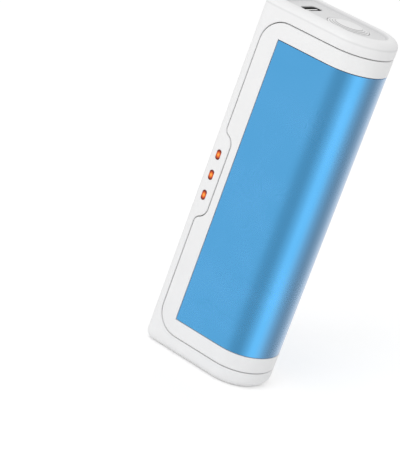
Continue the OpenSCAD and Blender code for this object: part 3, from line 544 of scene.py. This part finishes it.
lip.to_mesh(lip_mesh)
lip.free()
wall.from_mesh(lip_mesh)
bpy.data.meshes.remove(lip_mesh)
frame_white = moulded("Frame white plastic", (0.86, 0.86, 0.862), (0.83, 0.83, 0.833))
# Painted shade: the deck and the wall round it are coloured a little greyer, for the shade in the recess,
# and darker still in a band near the foot of the wall. A thin line of painted shade runs round the cap
# a little above where the cap's rounding begins
tree = frame_white.node_tree
spot = place_on(tree)
past_nose = maths(tree, 'MAXIMUM', maths(tree, 'SUBTRACT', spot["X"], nose_x), 0.0)
reach = far_off(tree, past_nose, spot["Y"])
shaded_in, unshaded_in = 3.2 * mm, 3 * mm
painted_recess_shade = from_to(tree, spot["Z"], deck_z + 0.7 * mm, body_h, 1.0, 0.0)
for value, shaded_at, unshaded_at in (
        (spot["Z"], deck_z - 0.05 * mm, deck_z - 0.3 * mm),
        (maths(tree, 'ABSOLUTE', spot["Y"]), body_t / 2 - shaded_in, body_t / 2 - unshaded_in),
        (spot["X"], shaded_in - body_w / 2, unshaded_in - body_w / 2),
        (reach, nose_r - shaded_in, nose_r - unshaded_in)):
    painted_recess_shade = maths(tree, 'MULTIPLY', painted_recess_shade, from_to(tree, value, unshaded_at, shaded_at, 0.0, 1.0))
# how far a place lies from the foot of the slope and from the painted shade line on the cap's rounding
crease, shade_line_off = (maths(tree, 'ABSOLUTE', maths(tree, 'SUBTRACT', spot["Z"], z))
                   for z in (deck_z + 0.3 * mm, body_h - 2 * mm))
painted_recess_shade = maths(tree, 'MULTIPLY', painted_recess_shade, from_to(tree, crease, 0.12 * mm, 0.28 * mm, 1.0, 0.6))
painted_shade = maths(tree, 'MAXIMUM', painted_recess_shade, from_to(tree, shade_line_off, 0.05 * mm, 0.4 * mm, 0.48, 0.0))
# lays the painted shade on the deck, the slope's foot and the line on the cap
shaded(frame_white, painted_shade, (0.64, 0.64, 0.645, 1))
piece(wall, "outer_frame_moulding", ["outer_frame"], frame_white)

# Button cap: white ABS, moulded with three low steps down from its face.
# It goes in from inside the frame, a flange below the deck keeps it there and a post pushes the switch.
cap_path = [(0, 110.6, 0), (4.1, 110.6, 0.1), (4.283, 110.4, 0.05), (4.833, 110.4, 0.1),
            (5.017, 110.2, 0.05), (5.567, 110.2, 0.1), (5.75, 110, 0.05), (6.3, 110, 0.14),
            (6.3, 107.97, 0.05), (7.4, 107.97, 0.1), (7.4, 107.17, 0.1), (5, 107.17, 0.1),
            (5, 109.3, 0.2), (1.6, 109.3, 0.2), (1.6, 104.81, 0.1), (0, 104.81, 0)]
cap = bmesh.new()
corners = [cap.verts.new((r * mm, 0, z * mm)) for r, z, soft in cap_path]
cap.faces.new(corners)
for corner, (r, z, soft) in zip(corners, cap_path):
    if soft:
        bmesh.ops.bevel(cap, geom=[corner], offset=soft * mm, offset_type='OFFSET', segments=4,
                        profile=0.5, affect='VERTICES', clamp_overlap=True, material=-1)
bmesh.ops.delete(cap, geom=cap.faces[:], context='FACES_ONLY')
axle = [e for e in cap.edges if all(abs(v.co.x) < 1e-9 for v in e.verts)]
bmesh.ops.delete(cap, geom=axle, context='EDGES')
bmesh.ops.spin(cap, geom=cap.verts[:] + cap.edges[:], cent=(0, 0, 0), axis=(0, 0, 1),
               angle=2 * math.pi, steps=128, use_merge=True, use_duplicate=False)
bmesh.ops.translate(cap, verts=cap.verts[:], vec=(button_x, 0, 0))
cap_white = moulded("Button white plastic", (0.85, 0.85, 0.852), (0.82, 0.82, 0.823), 5.0, 0.08)
# Painted shade: the foot of every step and the gap round the cap are coloured darker
tree = cap_white.node_tree
spot = place_on(tree)
reach = far_off(tree, maths(tree, 'SUBTRACT', spot["X"], button_x), spot["Y"])
first_step, half_step = 4.19 * mm, 0.3667 * mm
step = maths(tree, 'PINGPONG', maths(tree, 'SUBTRACT', reach, first_step), half_step)
painted_shade = maths(tree, 'MULTIPLY', from_to(tree, step, 0.1 * mm, 0.2 * mm, 0.75, 0.0),
              from_to(tree, reach, 3.9 * mm, 4.0 * mm, 0.0, 1.0))
shaded(cap_white, painted_shade, (0.45, 0.45, 0.45, 1))
piece(cap, "button_cap_moulding", ["button_cap"], cap_white, "button", 25)

# Light bars: clear bars with a pin for every window, pressed into the flanks from inside the frame.
# The front one is amber with a painted glow: the bar's own emission stands in for the lamps behind it,
# bright at each window's core and dark red at its rim; the back one is smoked and unlit.
window_x = -body_w / 2 + window_s
pin_rings = (0.1, 12.7), (0, 12.65), (0, 8.72)
bar_in, bar_out, bar_half, bar_past = 8.32 * mm, 9.12 * mm, 1.2 * mm, 3.1 * mm


def block(bm, low, high, bevel=0.0):
    """A box between two corners, its edges rounded"""
    size = Vector(high) - Vector(low)
    place = Matrix.Translation((Vector(high) + Vector(low)) / 2) @ Matrix.Diagonal((*size, 1))
    made = bmesh.ops.create_cube(bm, size=1, matrix=place)["verts"]
    if bevel:
        round_off(bm, list({e for v in made for e in v.link_edges}), bevel, 2)


def light_bar(side, name, nodes, material):
    """A bar for one flank with a pin for each window, its rings smaller by so much and so far out"""
    bm = bmesh.new()
    heights = [z for row_side, z in rows if row_side == side]
    for z in heights:
        loops = []
        for less, y in pin_rings:
            size = window_w - less * mm, window_l - less * mm
            verts, edges = rounded_loop(bm, (0, 0, 0), size, size[0] / 2 - hair)
            turn = Matrix.Rotation(math.pi / 2, 4, 'X')
            bmesh.ops.transform(bm, matrix=Matrix.Translation((window_x, side * y * mm, z)) @ turn,
                                verts=verts)
            loops.append(edges)
        bridge(bm, loops)
        bmesh.ops.edgeloop_fill(bm, edges=loops[0])
        bmesh.ops.edgeloop_fill(bm, edges=loops[-1])
    near, far = sorted((side * bar_in, side * bar_out))
    block(bm, (window_x - bar_half, near, heights[0] - bar_past),
          (window_x + bar_half, far, heights[-1] + bar_past), 0.1 * mm)
    piece(bm, name, nodes, material)


# Painted glow: the window's emission, bright at the core and dark red at the rim, stands in for the lamps
# behind it
lamp, _, put = new_group("Lit window", {}, {"Color": "Color"})
spot = place_on(lamp)
half_pitch, core_across, core_along, glow_reach = window_pitch / 2, 0.78, 0.6, 0.75 * mm
row_z = maths(lamp, 'WRAP', maths(lamp, 'SUBTRACT', spot["Z"], mid_z), half_pitch, -half_pitch)
aside = maths(lamp, 'MULTIPLY', maths(lamp, 'SUBTRACT', spot["X"], window_x), core_across)
away = far_off(lamp, maths(lamp, 'MULTIPLY', row_z, core_along), aside)
glow = node(lamp, "ValToRGB", {0: from_to(lamp, away, 0.0, glow_reach, 0.0, 1.0)})
stops = glow.color_ramp.elements
stops[0].color, stops[-1].color = (1.0, 0.52, 0.08, 1), (0.1, 0.005, 0.003, 1)
for place, shade in ((0.42, (0.88, 0.2, 0.014, 1)), (0.72, (0.52, 0.045, 0.006, 1))):
    stops.new(place).color = shade
lamp.links.new(glow.outputs["Color"], put["Color"])
amber, tree, shader = bare_material("Lit amber window", Roughness=0.15, Emission_Strength=1.0)
shader.inputs["Base Color"].default_value = (0.05, 0.01, 0.002, 1)
lit = tree.nodes.new("ShaderNodeGroup")
lit.node_tree = lamp
tree.links.new(lit.outputs["Color"], shader.inputs["Emission Color"])
smoked = moulded("Smoked window", (0.3, 0.3, 0.31), (0.26, 0.26, 0.27), 3.0, 0.03, (0.12, 0.2))
light_bar(-1, "heat_window_lights", ["heat_window_bar"], amber)
light_bar(1, "charge_window_lights", ["charge_window_bar"], smoked)

# Charge port: a deep-drawn steel shell, dark nickel plated, round a moulded tongue with gilt contacts.
# It is soldered upright to the top board, and its mouth comes up into the deck's slot.


def drawn(tree, where, scale):
    """Long fine streaks from drawing or rolling"""
    long = node(tree, "Mapping", {"Vector": where, "Scale": (1, 1, 0.04)}).outputs[0]
    streaks = noise(tree, long, scale)
    return from_to(tree, streaks, 0.35, 0.65, 0.0, 1.0), streaks


drawn_metal = surface("Drawn metal", drawn)


def metal(name, light, shade, scale=5.0, depth=0.06, roughness=(0.24, 0.36), wear=0.3):
    """A material of drawn or rolled metal"""
    return covered(name, drawn_metal, light, shade, scale, depth, roughness, wear, Metallic=1.0)


def dress(material, *names):
    """Gives the material to CAD pieces that are kept as they are"""
    for name in names:
        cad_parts[name].data.materials.clear()
        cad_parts[name].data.materials.append(material)


dress(metal("Dark nickel", (0.15, 0.15, 0.155), (0.11, 0.11, 0.115)), "usb_shell")
tongue_l, tongue_t, tongue_low, tongue_high = 6.7 * mm, 0.7 * mm, 100.81 * mm, 109.62 * mm
root_l, root_t, root_h = 8.28 * mm, 2.6 * mm, 3.1 * mm
tongue = bmesh.new()
root = [rounded_loop(tongue, (port_x, 0, z), (root_t, root_l), root_t / 2 - hair)[1]
        for z in (tongue_low, tongue_low + root_h)]
bridge(tongue, root)
for edges in root:
    bmesh.ops.edgeloop_fill(tongue, edges=edges)
block(tongue, (port_x - tongue_t / 2, -tongue_l / 2, tongue_low + root_h / 2),
      (port_x + tongue_t / 2, tongue_l / 2, tongue_high), 0.1 * mm)
tongue_black = moulded("Port tongue nylon", (0.05, 0.05, 0.052), (0.035, 0.035, 0.037), 5.0, 0.1,
                       (0.4, 0.5))
# The top of the tongue's tip is coloured pale grey
tree = tongue_black.node_tree
tip = from_to(tree, place_on(tree)["Z"], tongue_high - 0.06 * mm, tongue_high - 0.03 * mm, 0.0, 1.0)
shaded(tongue_black, tip, (0.82, 0.82, 0.82, 1))
piece(tongue, "port_tongue", ["usb_tongue"], tongue_black)
gold = metal("Gold plate", (0.83, 0.6, 0.24), (0.74, 0.51, 0.19), 8.0, 0.04, (0.2, 0.28), 0.1)
dress(gold, "usb_contacts")

# Tact switch: a black nylon base with bent pins, a stamped steel cover clinched over it and a plunger.
# The dome spring under the plunger gives the button its click.
nylon = moulded("Black nylon", (0.03, 0.03, 0.032), (0.022, 0.022, 0.024), 5.0, 0.15, (0.42, 0.55), 0.25)
steel = metal("Bright steel", (0.64, 0.64, 0.65), (0.52, 0.52, 0.53))
dress(nylon, "switch_base", "switch_plunger")
dress(steel, "switch_cover")

# Top board: glass-fibre board with green solder mask over its copper, carrying the port and the switch.
# Two steel screws hold it down on the chassis's shelf.


def traced(tree, where, scale):
    """Copper tracks that show through the solder mask as nested turns"""
    turns = node(tree, "TexVoronoi", {"Vector": where, "Scale": scale},
                 distance='CHEBYCHEV').outputs["Distance"]
    tracks = from_to(tree, maths(tree, 'PINGPONG', turns, 0.09), 0.035, 0.05, 0.0, 1.0)
    return tracks, tracks


board_green = covered("Green circuit board", surface("Tracks under solder mask", traced),
                      (0.012, 0.115, 0.05), (0.03, 0.2, 0.085), 0.22, 0.5, (0.26, 0.36), 0.35)
zinc_steel = metal("Zinc-plated screw", (0.66, 0.66, 0.68), (0.54, 0.55, 0.57), 6.0, 0.08, (0.22, 0.34),
                   0.5)
dress(board_green, "top_board")
dress(zinc_steel, "top_board_screws")

# Main board: the same kind of board, upright behind the spine, screwed to its standoffs.
# It carries two power chips in black epoxy, a moulded ferrite inductor and small ceramic capacitors.
dress(board_green, "main_board")
dress(zinc_steel, "board_screws")
dress(moulded("Black epoxy", (0.024, 0.024, 0.025), (0.018, 0.018, 0.019), 9.0, 0.3, (0.5, 0.62), 0.15),
      "power_chips")
dress(moulded("Moulded ferrite", (0.1, 0.1, 0.102), (0.07, 0.07, 0.072), 7.0, 0.5, (0.6, 0.75), 0.3),
      "inductor")
dress(moulded("Fired ceramic", (0.46, 0.34, 0.2), (0.38, 0.27, 0.15), 9.0, 0.1, (0.3, 0.42), 0.3),
      "capacitors")

# Heater socket, window lamps and ribbon: a white nylon socket takes the film's tail, white light-emitting
# diodes stand behind the windows, and an amber polyimide ribbon joins the two boards.
white_nylon = moulded("White nylon", (0.8, 0.8, 0.77), (0.74, 0.74, 0.71), 5.0, 0.1, (0.35, 0.48), 0.1)
dress(white_nylon, "heater_socket", "heat_leds", "charge_leds")


def printed(tree, where, scale):
    """Etched copper tracks that show through polyimide film as even bands"""
    bands = node(tree, "TexWave", {"Vector": where, "Scale": maths(tree, 'MULTIPLY', scale, 0.314)},
                 bands_direction='Z').outputs["Fac"]
    tracks = from_to(tree, bands, 0.42, 0.58, 0.0, 1.0)
    return tracks, tracks


film = surface("Etched film", printed)
dress(covered("Ribbon polyimide", film, (0.55, 0.23, 0.035), (0.42, 0.15, 0.03), 0.8, 0.3, (0.2, 0.3),
              0.1), "board_ribbon")

# Cell: one 18650 lithium cell, a nickel-plated steel can in a shrunk sleeve, a white ring at its plus.
# Nickel strips are spot-welded to both ends; foam pads and black tape straps hold it in the cradle.
dress(metal("Nickel-plated can", (0.66, 0.65, 0.62), (0.56, 0.55, 0.52), 3.0, 0.05), "cell_can")
dress(moulded("Shrunk sleeve", (0.015, 0.2, 0.14), (0.012, 0.16, 0.11), 1.2, 0.2, (0.22, 0.34), 0.15),
      "cell_sleeve")
dress(white_nylon, "cell_ring")
dress(metal("Nickel strip", (0.68, 0.65, 0.58), (0.58, 0.55, 0.48), 4.0, 0.08),
      "tab_positive", "tab_negative")


def bubbly(tree, where, scale):
    """The closed cells of foam"""
    bubbles = node(tree, "TexVoronoi", {"Vector": where, "Scale": scale}).outputs["Distance"]
    return from_to(tree, bubbles, 0.1, 0.6, 1.0, 0.0), bubbles


def woven(tree, where, scale):
    """Fibres that lie in two directions"""
    places = [node(tree, "Mapping", {"Vector": where, "Rotation": turn, "Scale": size}).outputs[0]
              for turn, size in (((0, 0.6, 0.5), (1, 1, 0.12)), ((0.5, -0.7, 0), (0.12, 1, 1)))]
    fibres = maths(tree, 'MAXIMUM', *(noise(tree, place, scale) for place in places))
    return from_to(tree, fibres, 0.42, 0.7, 0.0, 1.0), fibres


fibrous = surface("Fibres", woven)
dress(covered("Grey foam", surface("Foam cells", bubbly), (0.3, 0.3, 0.3), (0.2, 0.2, 0.2), 3.0, 1.0,
              (0.75, 0.9), 0.0), "foam_pads")
dress(covered("Black tape", fibrous, (0.04, 0.04, 0.041), (0.025, 0.025, 0.026), 6.0, 0.3, (0.45, 0.6),
              0.1), "cell_straps")

# Chassis: black glass-filled nylon, moulded as plate, cradle and shelf in one piece.
# Three steel screws go through it into the bosses on the frame's spine.
dress(moulded("Glass-filled nylon", (0.055, 0.055, 0.06), (0.038, 0.038, 0.042), 3.0, 0.35, (0.5, 0.65),
              0.25), "chassis")
dress(zinc_steel, "chassis_screws")

# Front shell: the white half of the case that goes from one flank round the nose to the other.
# It slides on from the nose until its snaps catch behind the frame's lip; a pocket takes the heat panel.
shell_t, pocket_deep, pocket_gap, seam_gap = 2.5 * mm, 1.5 * mm, 0.22 * mm, 0.24
panel_s, panel_low, panel_high = 9.8 * mm, 10.5 * mm, 100.5 * mm
part = seam_line(seam_gap)
shell = blank(part + [(-run, z, r) for run, z, r in reversed(part)])
shell_end = part[0][0]
pocket_run = run_at(panel_s - pocket_gap)
pocket_low, pocket_high = panel_low - pocket_gap, panel_high + pocket_gap
tail, bead = (-run_at(11.6 * mm), 34 * mm), (-run_at(21 * mm), mid_z)
cells = ((tail, (0.8 * mm, 3.3 * mm)), (bead, (1.5 * mm, 1.5 * mm)))
round_off(shell, thicken(shell, shell_t), edge_r)
score(shell, bend_scores(-shell_end, shell_end) + [-pocket_run, pocket_run]
      + [at[0] + way * reach[0] for at, reach in cells for way in (-1, 1)],
      [pocket_low, pocket_high] + [at[1] + way * reach[1] for at, reach in cells for way in (-1, 1)])


def in_pocket(point, past=0.0):
    """Whether a point of the flat shell lies in the pocket"""
    return abs(point.x) < pocket_run + past and pocket_low - past < point.y < pocket_high + past


pocket = [face for face in shell.faces if face.normal.z > 0.5 and in_pocket(face.calc_center_median())]
bmesh.ops.inset_region(shell, faces=pocket, thickness=0, depth=-pocket_deep, use_boundary=True)
shell.normal_update()
brink = [e for e in shell.edges
         if all(abs(v.co.z) < hair and in_pocket(v.co, 0.01 * mm) for v in e.verts)
         and sum(abs(f.normal.z) < 0.5 for f in e.link_faces) == 1]
round_off(shell, brink, 0.1 * mm, 2)
tail_w, tail_l, bead_r = 0.9 * mm, 5.9 * mm, 1.1 * mm
through = (-pocket_deep, 0), (-shell_t, 0)
cut_hole(shell, tail, (tail_w, tail_l), 0.1 * mm, through, 0.3 * mm)
cut_hole(shell, bead, (2 * bead_r, 2 * bead_r), bead_r - hair, through, 0.3 * mm)
bend_round(shell)
post_low, post_high = cap_h + 0.03 * mm, 14.03 * mm
rib_in, rib_out, rib_half, rib_low, rib_high = 1.8 * mm, 16.5 * mm, 0.7 * mm, 7.4 * mm, 14 * mm
snap_xs, snap_y, snap_rise = (-3.8 * mm, 4.56 * mm), 10.25 * mm, 49.15 * mm
snap_l, snap_w, snap_t = 3 * mm, 0.5 * mm, 0.45 * mm
for side in (-1, 1):
    screw_y = side * base_screw_y
    tube(shell, [(post_r, post_low), (post_r, post_high), (bore_r, post_high), (bore_r, post_low),
                 (post_r, post_low)], Matrix.Translation((base_screw_x, screw_y, 0)))
    block(shell, (base_screw_x + rib_in, screw_y - rib_half, rib_low),
          (rib_out, screw_y + rib_half, rib_high))
    for x in snap_xs:
        for z in (mid_z - snap_rise, mid_z + snap_rise):
            block(shell, (x - snap_l, side * snap_y - snap_w, z - snap_t),
                  (x + snap_l, side * snap_y + snap_w, z + snap_t), 0.15 * mm)
shell_white = moulded("Front white plastic", (0.86, 0.86, 0.862), (0.83, 0.83, 0.833))
piece(shell, "front_shell_moulding", ["front_shell"], shell_white)

# Heater, felt and sensor: needled felt lies in the shell's pocket, and an amber polyimide film with an
# etched heating track covers it. A black thermistor stands in a hole of the shell against the film.
dress(covered("Needled felt", fibrous, (0.62, 0.6, 0.55), (0.5, 0.48, 0.44), 5.0, 1.0, (0.85, 0.95),
              0.0), "insulating_felt")
dress(covered("Heater polyimide", film, (0.6, 0.27, 0.05), (0.5, 0.2, 0.06), 0.35, 0.4, (0.2, 0.32),
              0.1), "heater_film")
dress(nylon, "thermistor")

# Heat panel: 0.8 mm aluminium sheet, cut with square corners, fine blasted and anodised blue,
# then bent round the nose and laid in the shell's pocket on the heater film.
panel_run = run_at(panel_s)
panel_t, panel_sink, panel_r = 0.8 * mm, 0.06 * mm, 0.25 * mm
panel = blank([(panel_run, panel_low, panel_r), (panel_run, panel_high, panel_r),
               (-panel_run, panel_high, panel_r), (-panel_run, panel_low, panel_r)], 3)
score(panel, bend_scores(-panel_run, panel_run, math.radians(2)))
round_off(panel, thicken(panel, panel_t), 0.05 * mm)
bend_round(panel, panel_sink)


def blasted(tree, where, scale):
    """The fine grain of glass-bead blasting under the dye, with slow clouds"""
    fine, slow = noise(tree, where, scale, 3.0), noise(tree, where, 50.0)
    both = maths(tree, 'MULTIPLY_ADD', fine, 0.5, maths(tree, 'MULTIPLY', slow, 0.5))
    return from_to(tree, both, 0.35, 0.65, 0.0, 1.0), fine


panel_blue = covered("Blue anodised aluminium", surface("Blasted and anodised", blasted),
                     (0.143, 0.525, 0.97), (0.119, 0.49, 0.91), 7.0, 0.12, (0.26, 0.3), 0.0,
                     Metallic=1.0)
tree = panel_blue.node_tree
shader, look = tree.nodes["Principled BSDF"], next(n for n in tree.nodes if n.type == 'GROUP')
# Painted reflection: towards glancing angles the colour turns pale blue-white, for the bright surround
# mirrored at the panel's edges
painted_sheen = from_to(tree, node(tree, "LayerWeight", {"Blend": 0.5}).outputs["Facing"], 0.2, 1.0, 0.0, 1.0)
glancing = mix(tree, painted_sheen, look.outputs["Color"], (0.7, 0.82, 0.98, 1))
tree.links.new(glancing, shader.inputs["Base Color"])
piece(panel, "heat_panel_sheet", ["heat_panel"], panel_blue)

# Base screws and base plate: two steel screws pull the frame's bottom cap to the shell's posts.
# A grey silicone mat with five grip grooves is glued into the bottom recess over them.
dress(zinc_steel, "base_screws")
mat_low, mat_high, mat_depth = 0.25 * mm, 1.17 * mm, rim_w + 0.15 * mm
mat = blank([(0, mat_low, 0), (lap, mat_low, 0), (lap, mat_high, 0), (0, mat_high, 0)])
score(mat, bend_scores(0, lap))
for vert in mat.verts:
    vert.co = on_case(vert.co.x, mat_depth, vert.co.y)
bmesh.ops.remove_doubles(mat, verts=mat.verts[:], dist=weld)
for z in (mat_low, mat_high):
    bmesh.ops.edgeloop_fill(mat, edges=open_edges(mat, z))
bmesh.ops.recalc_face_normals(mat, faces=mat.faces[:])
round_off(mat, [e for e in mat.edges if all(abs(v.co.z - mat_low) < 1e-6 for v in e.verts)], 0.2 * mm)
grooves = [(i - 2) * body_w * 0.14 for i in range(5)]
groove_l, groove_half, groove_deep = body_t * 0.62, 0.4 * mm, 0.3 * mm


def underside():
    """The faces of the mat's flat underside"""
    return [face for face in mat.faces if all(abs(v.co.z - mat_low) < 1e-6 for v in face.verts)]


lines = [((x + edge, 0, 0), (1, 0, 0)) for x in grooves for edge in (-groove_half, groove_half)]
lines += [((0, edge, 0), (0, 1, 0)) for edge in (-groove_l / 2, groove_l / 2)]
for place, way in lines:
    flat = {part for face in underside() for part in (face, *face.edges, *face.verts)}
    bmesh.ops.bisect_plane(mat, geom=list(flat), dist=1e-6, plane_co=place, plane_no=way)
cuts = [face for face in underside() if abs(face.calc_center_median().y) < groove_l / 2
        and any(abs(face.calc_center_median().x - x) < groove_half - 0.01 * mm for x in grooves)]
bmesh.ops.inset_region(mat, faces=cuts, thickness=0, depth=-groove_deep, use_boundary=True)
mat_grey = moulded("Grey silicone", (0.3, 0.3, 0.31), (0.25, 0.25, 0.26), 2.5, 0.25, (0.6, 0.75))
piece(mat, "base_plate_mat", ["base_plate"], mat_grey)

# Floor, light and camera: a white floor and a white surround, as in a catalogue photograph.
# Pale and dark cards stand far off round the product and show only as bands in its metal.


def shown(tree):
    """Whether a ray comes from the camera, from a reflection or through something clear"""
    rays = node(tree, "LightPath").outputs
    return maths(tree, 'MAXIMUM', maths(tree, 'MAXIMUM', rays["Is Camera Ray"], rays["Is Glossy Ray"]),
                 rays["Is Transmission Ray"])


floor_bm = bmesh.new()
bmesh.ops.create_grid(floor_bm, x_segments=2, y_segments=2, size=3)
floor_mesh = bpy.data.meshes.new("floor")
floor_bm.to_mesh(floor_mesh)
floor_bm.free()
floor = bpy.data.objects.new("floor", floor_mesh)
bpy.context.scene.collection.objects.link(floor)
floor_white = moulded("White floor", (0.98, 0.98, 0.98), (0.97, 0.97, 0.97), 0.5, 0.02, (0.6, 0.7))
tree = floor_white.node_tree
shader = tree.nodes["Principled BSDF"]
tree.links.new(maths(tree, 'MULTIPLY', shown(tree), 0.16), shader.inputs["Emission Strength"])
shader.inputs["Emission Color"].default_value = (1, 1, 1, 1)
floor_mesh.materials.append(floor_white)
floor.visible_glossy = False

world = bpy.data.worlds.new("White surround")
bpy.context.scene.world = world
world.use_nodes = True
sky = world.node_tree
sky.nodes.clear()
ray = node(sky, "SeparateXYZ", {0: node(sky, "NewGeometry").outputs["Incoming"]}).outputs
ahead_y, ahead_x = (maths(sky, 'MULTIPLY', ray[axis], -1.0) for axis in "YX")
around = maths(sky, 'ARCTAN2', ahead_y, ahead_x)
cards = node(sky, "ValToRGB", {0: from_to(sky, around, -math.pi, math.pi, 0.0, 1.0)})
cards.color_ramp.interpolation = 'EASE'
stops = cards.color_ramp.elements
while len(stops) > 1:
    stops.remove(stops[-1])
levels = ((-180, 0.85), (-128, 0.76), (-100, 0.75), (-76, 0.54), (-54, 0.5), (-34, 0.74), (-14, 1.11),
          (3, 1.08), (24, 0.54), (42, 0.36), (60, 0.49), (84, 0.8), (104, 0.88), (180, 0.85))
for index, (degrees, level) in enumerate(levels):
    place = (degrees + 180) / 360
    stop = stops.new(place) if index else stops[0]
    stop.position, stop.color = place, (level, level, level, 1)
colour = mix(sky, node(sky, "LightPath").outputs["Is Glossy Ray"], (1, 1, 1, 1), cards.outputs["Color"])
strength = from_to(sky, shown(sky), 0.0, 1.0, 0.86, 1.0)
light = node(sky, "Background", {"Color": colour, "Strength": strength})
sky.links.new(light.outputs[0], sky.nodes.new("ShaderNodeOutputWorld").inputs[0])


def lamp_at(name, place, aim, size, watts):
    """A square soft lamp aimed at a point"""
    data = bpy.data.lights.new(name, 'AREA')
    data.shape, data.size, data.energy = 'SQUARE', size, watts
    made = bpy.data.objects.new(name, data)
    turn = (Vector(aim) - Vector(place)).to_track_quat('-Z', 'Y').to_matrix().to_4x4()
    made.matrix_world = Matrix.Translation(place) @ turn
    bpy.context.scene.collection.objects.link(made)


lamp_at("key", (-0.1, -0.75, 0.6), (0, 0, 0.05), 0.5, 1.6)

bpy.context.scene.view_settings.view_transform = 'Standard'
lens = bpy.data.cameras.new("camera")
lens.lens, lens.sensor_width, lens.sensor_fit = 143.218, 36, 'AUTO'
lens.clip_start, lens.clip_end = 0.01, 20
camera = bpy.data.objects.new("camera", lens)
axes = Matrix(((0.7679486484, 0.5523764890, 0.3242454130), (-0.4494934229, 0.1041308269, 0.8871935717),
               (0.4563009272, -0.8270652848, 0.3282567266))).transposed()
camera.matrix_world = Matrix.Translation((0.240784, -0.469496, 0.218375)) @ axes.to_4x4()
bpy.context.scene.collection.objects.link(camera)
bpy.context.scene.camera = camera
